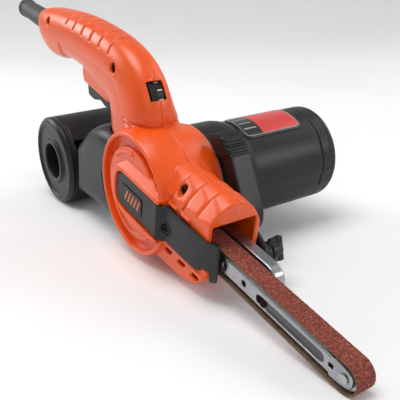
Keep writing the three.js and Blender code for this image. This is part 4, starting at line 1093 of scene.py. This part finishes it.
# ---- controls ----
def trigger():
    x, z = TRIGGER.x, TRIGGER.z
    lever = Solid((-311, -1, 28), (-261, 17, 47), 0.4)
    lever.add(along_y([
        (x + 4, z - 4.5, 3), (x + 4, z + 3, 2), (-300, 42.6), (-309, 44.5, 1), (-307, 40, 1), (-305.5, 31, 2),
        (-296, 30, 3), (-284, 34.5, 6), (-277, 31.5, 4),
    ], MID_Y - 7.5, MID_Y + 7.5, 2))
    lever.cut(rod(x, z, SCREW_HOLE, -40, 60))
    spring_x, seat_r = -299, 3.4
    lever.cut(lambda px, y, pz: np.maximum(np.hypot(px - spring_x, y - MID_Y) - seat_r, between(pz, 38, 46)))
    for px in (-301, -297.5, -294):
        lever.engrave(block((px, 2, 20), (px + 0.9, 14, 36)), 0.45)
    finish_piece(lever.skin("trigger_body"), "trigger")


def speed_dial():
    """The dial's wheel with fine knurls and a plain pale scale mark every 30 degrees."""
    wheel = Solid((DIAL.x - 15, MID_Y - 6, DIAL.z - 15), (DIAL.x + 15, MID_Y + 6, DIAL.z + 15), 0.32)
    wheel.add(rod(DIAL.x, DIAL.z, 12.6, MID_Y - 5, MID_Y + 5, 0.8))
    for groove in ring(DIAL.x, DIAL.z, 12.8, range(0, 360, 10)):
        wheel.cut(rod(*groove, 0.75, -40, MID_Y - 0.5), 0, *around(*groove, 2, 0, 15))
    wheel.cut(rod(DIAL.x, DIAL.z, 2.3, -40, 60))
    piece = wheel.skin("dial_wheel")
    finish_piece(piece, "speed_dial")

    def choose(x, y, z):
        turn = np.degrees(np.arctan2(z - DIAL.z, x - DIAL.x)) % 30
        rim = np.hypot(x - DIAL.x, z - DIAL.z) > 12
        return rim & (np.abs(turn - 14) < 2.2) & (y > MID_Y + 0.6) & (y < MID_Y + 4)
    paint(piece, [MATERIALS["dial_mark"]], choose)


def cord_sleeve():
    sleeve = Solid((-457, MID_Y - 11, 48), (-392, MID_Y + 11, 74), 0.36)
    sleeve.add(spun(*SLEEVE, [
        (3.6, 0), (9.6, 0, 0.6), (9.6, 2.8, 0.6), (7.4, 2.8), (7.4, 7.5), (9, 9, 1), (8.6, 20), (8.2, 34),
        (7.8, 55), (8.6, 56, 0.5), (8.6, 59, 0.8), (7.8, 60, 0.5), (3.6, 60),
    ]))
    finish_piece(sleeve.skin("sleeve_body"), "cord_sleeve")


shells()
belt_cover()
badge()
motor_housing()
motor_end_cap()
motor_label()
sanding_belt()
arm_bar()
support_bar()
rollers()
tension_bracket()
tension_lever()
tracking_knob()
dust_duct()
dust_can()
dust_can_cover()
trigger()
speed_dial()
cord_sleeve()

# ---- CAD nodes that stay ----
OUTER_SCREWS = ["handle_screw", "grip_screw", "hood_screw", "belt_cover_screw"]
BLACK = [*OUTER_SCREWS, "trigger_pin"]
BEVELLED = [*OUTER_SCREWS, "end_cap_screw_1", "end_cap_screw_2", "clamp_screw_1", "clamp_screw_2",
            "arm_bolt_1", "arm_bolt_2", "nose_axle", "lever_pin"]
for node, carried in frame["nodes"].items():
    carried.data.materials.clear()
    carried.data.materials.append(MATERIALS["blackened_steel" if node in BLACK else SLOT_OF[node]])
    if node in BEVELLED:
        bevel = carried.modifiers.new("edges", "BEVEL")
        bevel.width, bevel.segments, bevel.limit_method = 0.0002, 2, "ANGLE"


# ---- stage ----
def floor():
    """A pale floor that curves up into a wall far behind."""
    side, back, rise, steps = 2.5, 2.2, 1.2, 16
    profile = [(-side, 0.0)]
    for i in range(steps + 1):
        turn = i / steps * math.pi / 2
        profile.append((back - rise + rise * math.sin(turn), rise - rise * math.cos(turn)))
    profile.append((back, 3.5))
    away = math.radians(147)  # the direction the camera looks in
    points, faces = [], []
    for reach, height in profile:
        for across in (-4.0, 4.0):
            points.append((reach * math.cos(away) - across * math.sin(away),
                           reach * math.sin(away) + across * math.cos(away), height))
    for i in range(len(profile) - 1):
        faces.append((2 * i, 2 * i + 1, 2 * i + 3, 2 * i + 2))
    mesh = bpy.data.meshes.new("floor")
    mesh.from_pydata(points, [], faces)
    mesh.polygons.foreach_set("use_smooth", [True] * len(faces))
    made = new_object("floor", mesh)
    paper = Nodes("floor_paper", 0.9)
    paper.colour(paper.ramp(paper.noise(3, 4), (0.3, (0.86, 0.86, 0.86)), (0.7, (0.90, 0.90, 0.90))))
    mesh.materials.append(paper.material)


def lamp(name, place, aim, size, power):
    data = bpy.data.lights.new(name, "AREA")
    data.shape, data.size, data.energy = "DISK", size, power
    made = new_object(name, data)
    made.location = place
    made.rotation_euler = (Vector(aim) - Vector(place)).to_track_quat("-Z", "Y").to_euler()


def camera():
    """The view from the front left, a little above the tool."""
    target = Vector((0.0343, -0.0336, 0.0406))
    azimuth, elevation, roll = (math.radians(a) for a in (-33.05, 21.38, -2.04))
    reach = 0.46
    back = Vector((math.cos(azimuth) * math.cos(elevation), math.sin(azimuth) * math.cos(elevation),
                   math.sin(elevation)))
    level = Vector((0, 0, 1)).cross(back).normalized()
    upright = back.cross(level)
    right = level * math.cos(roll) + upright * math.sin(roll)
    up = back.cross(right)
    data = bpy.data.cameras.new("camera")
    data.lens, data.sensor_width = 57.586, 36
    made = new_object("camera", data)
    turn = Matrix((right, up, back)).transposed().to_4x4()
    made.matrix_world = Matrix.Translation(target + back * reach) @ turn
    bpy.context.scene.camera = made


floor()
lamp("key", (-0.1, -0.3, 1.5), (0.0, 0.0, 0.05), 1.0, 14)
lamp("front", (1.3, -1.0, 0.7), (0.05, 0.0, 0.05), 1.1, 2.5)
lamp("left", (-1.25, -0.72, 0.72), (-0.05, 0.0, 0.05), 0.7, 8)
lamp("right", (1.2, 0.85, 0.6), (0.05, 0.05, 0.05), 0.6, 6)
lamp("rim", (0.2, 1.3, 0.9), (0.0, 0.0, 0.05), 1.1, 5)
world = bpy.data.worlds.new("studio")
world.use_nodes = True
world.node_tree.nodes["Background"].inputs["Color"].default_value = (1, 1, 1, 1)
world.node_tree.nodes["Background"].inputs["Strength"].default_value = 0.3
bpy.context.scene.world = world
bpy.context.scene.view_settings.view_transform = "Standard"
camera()
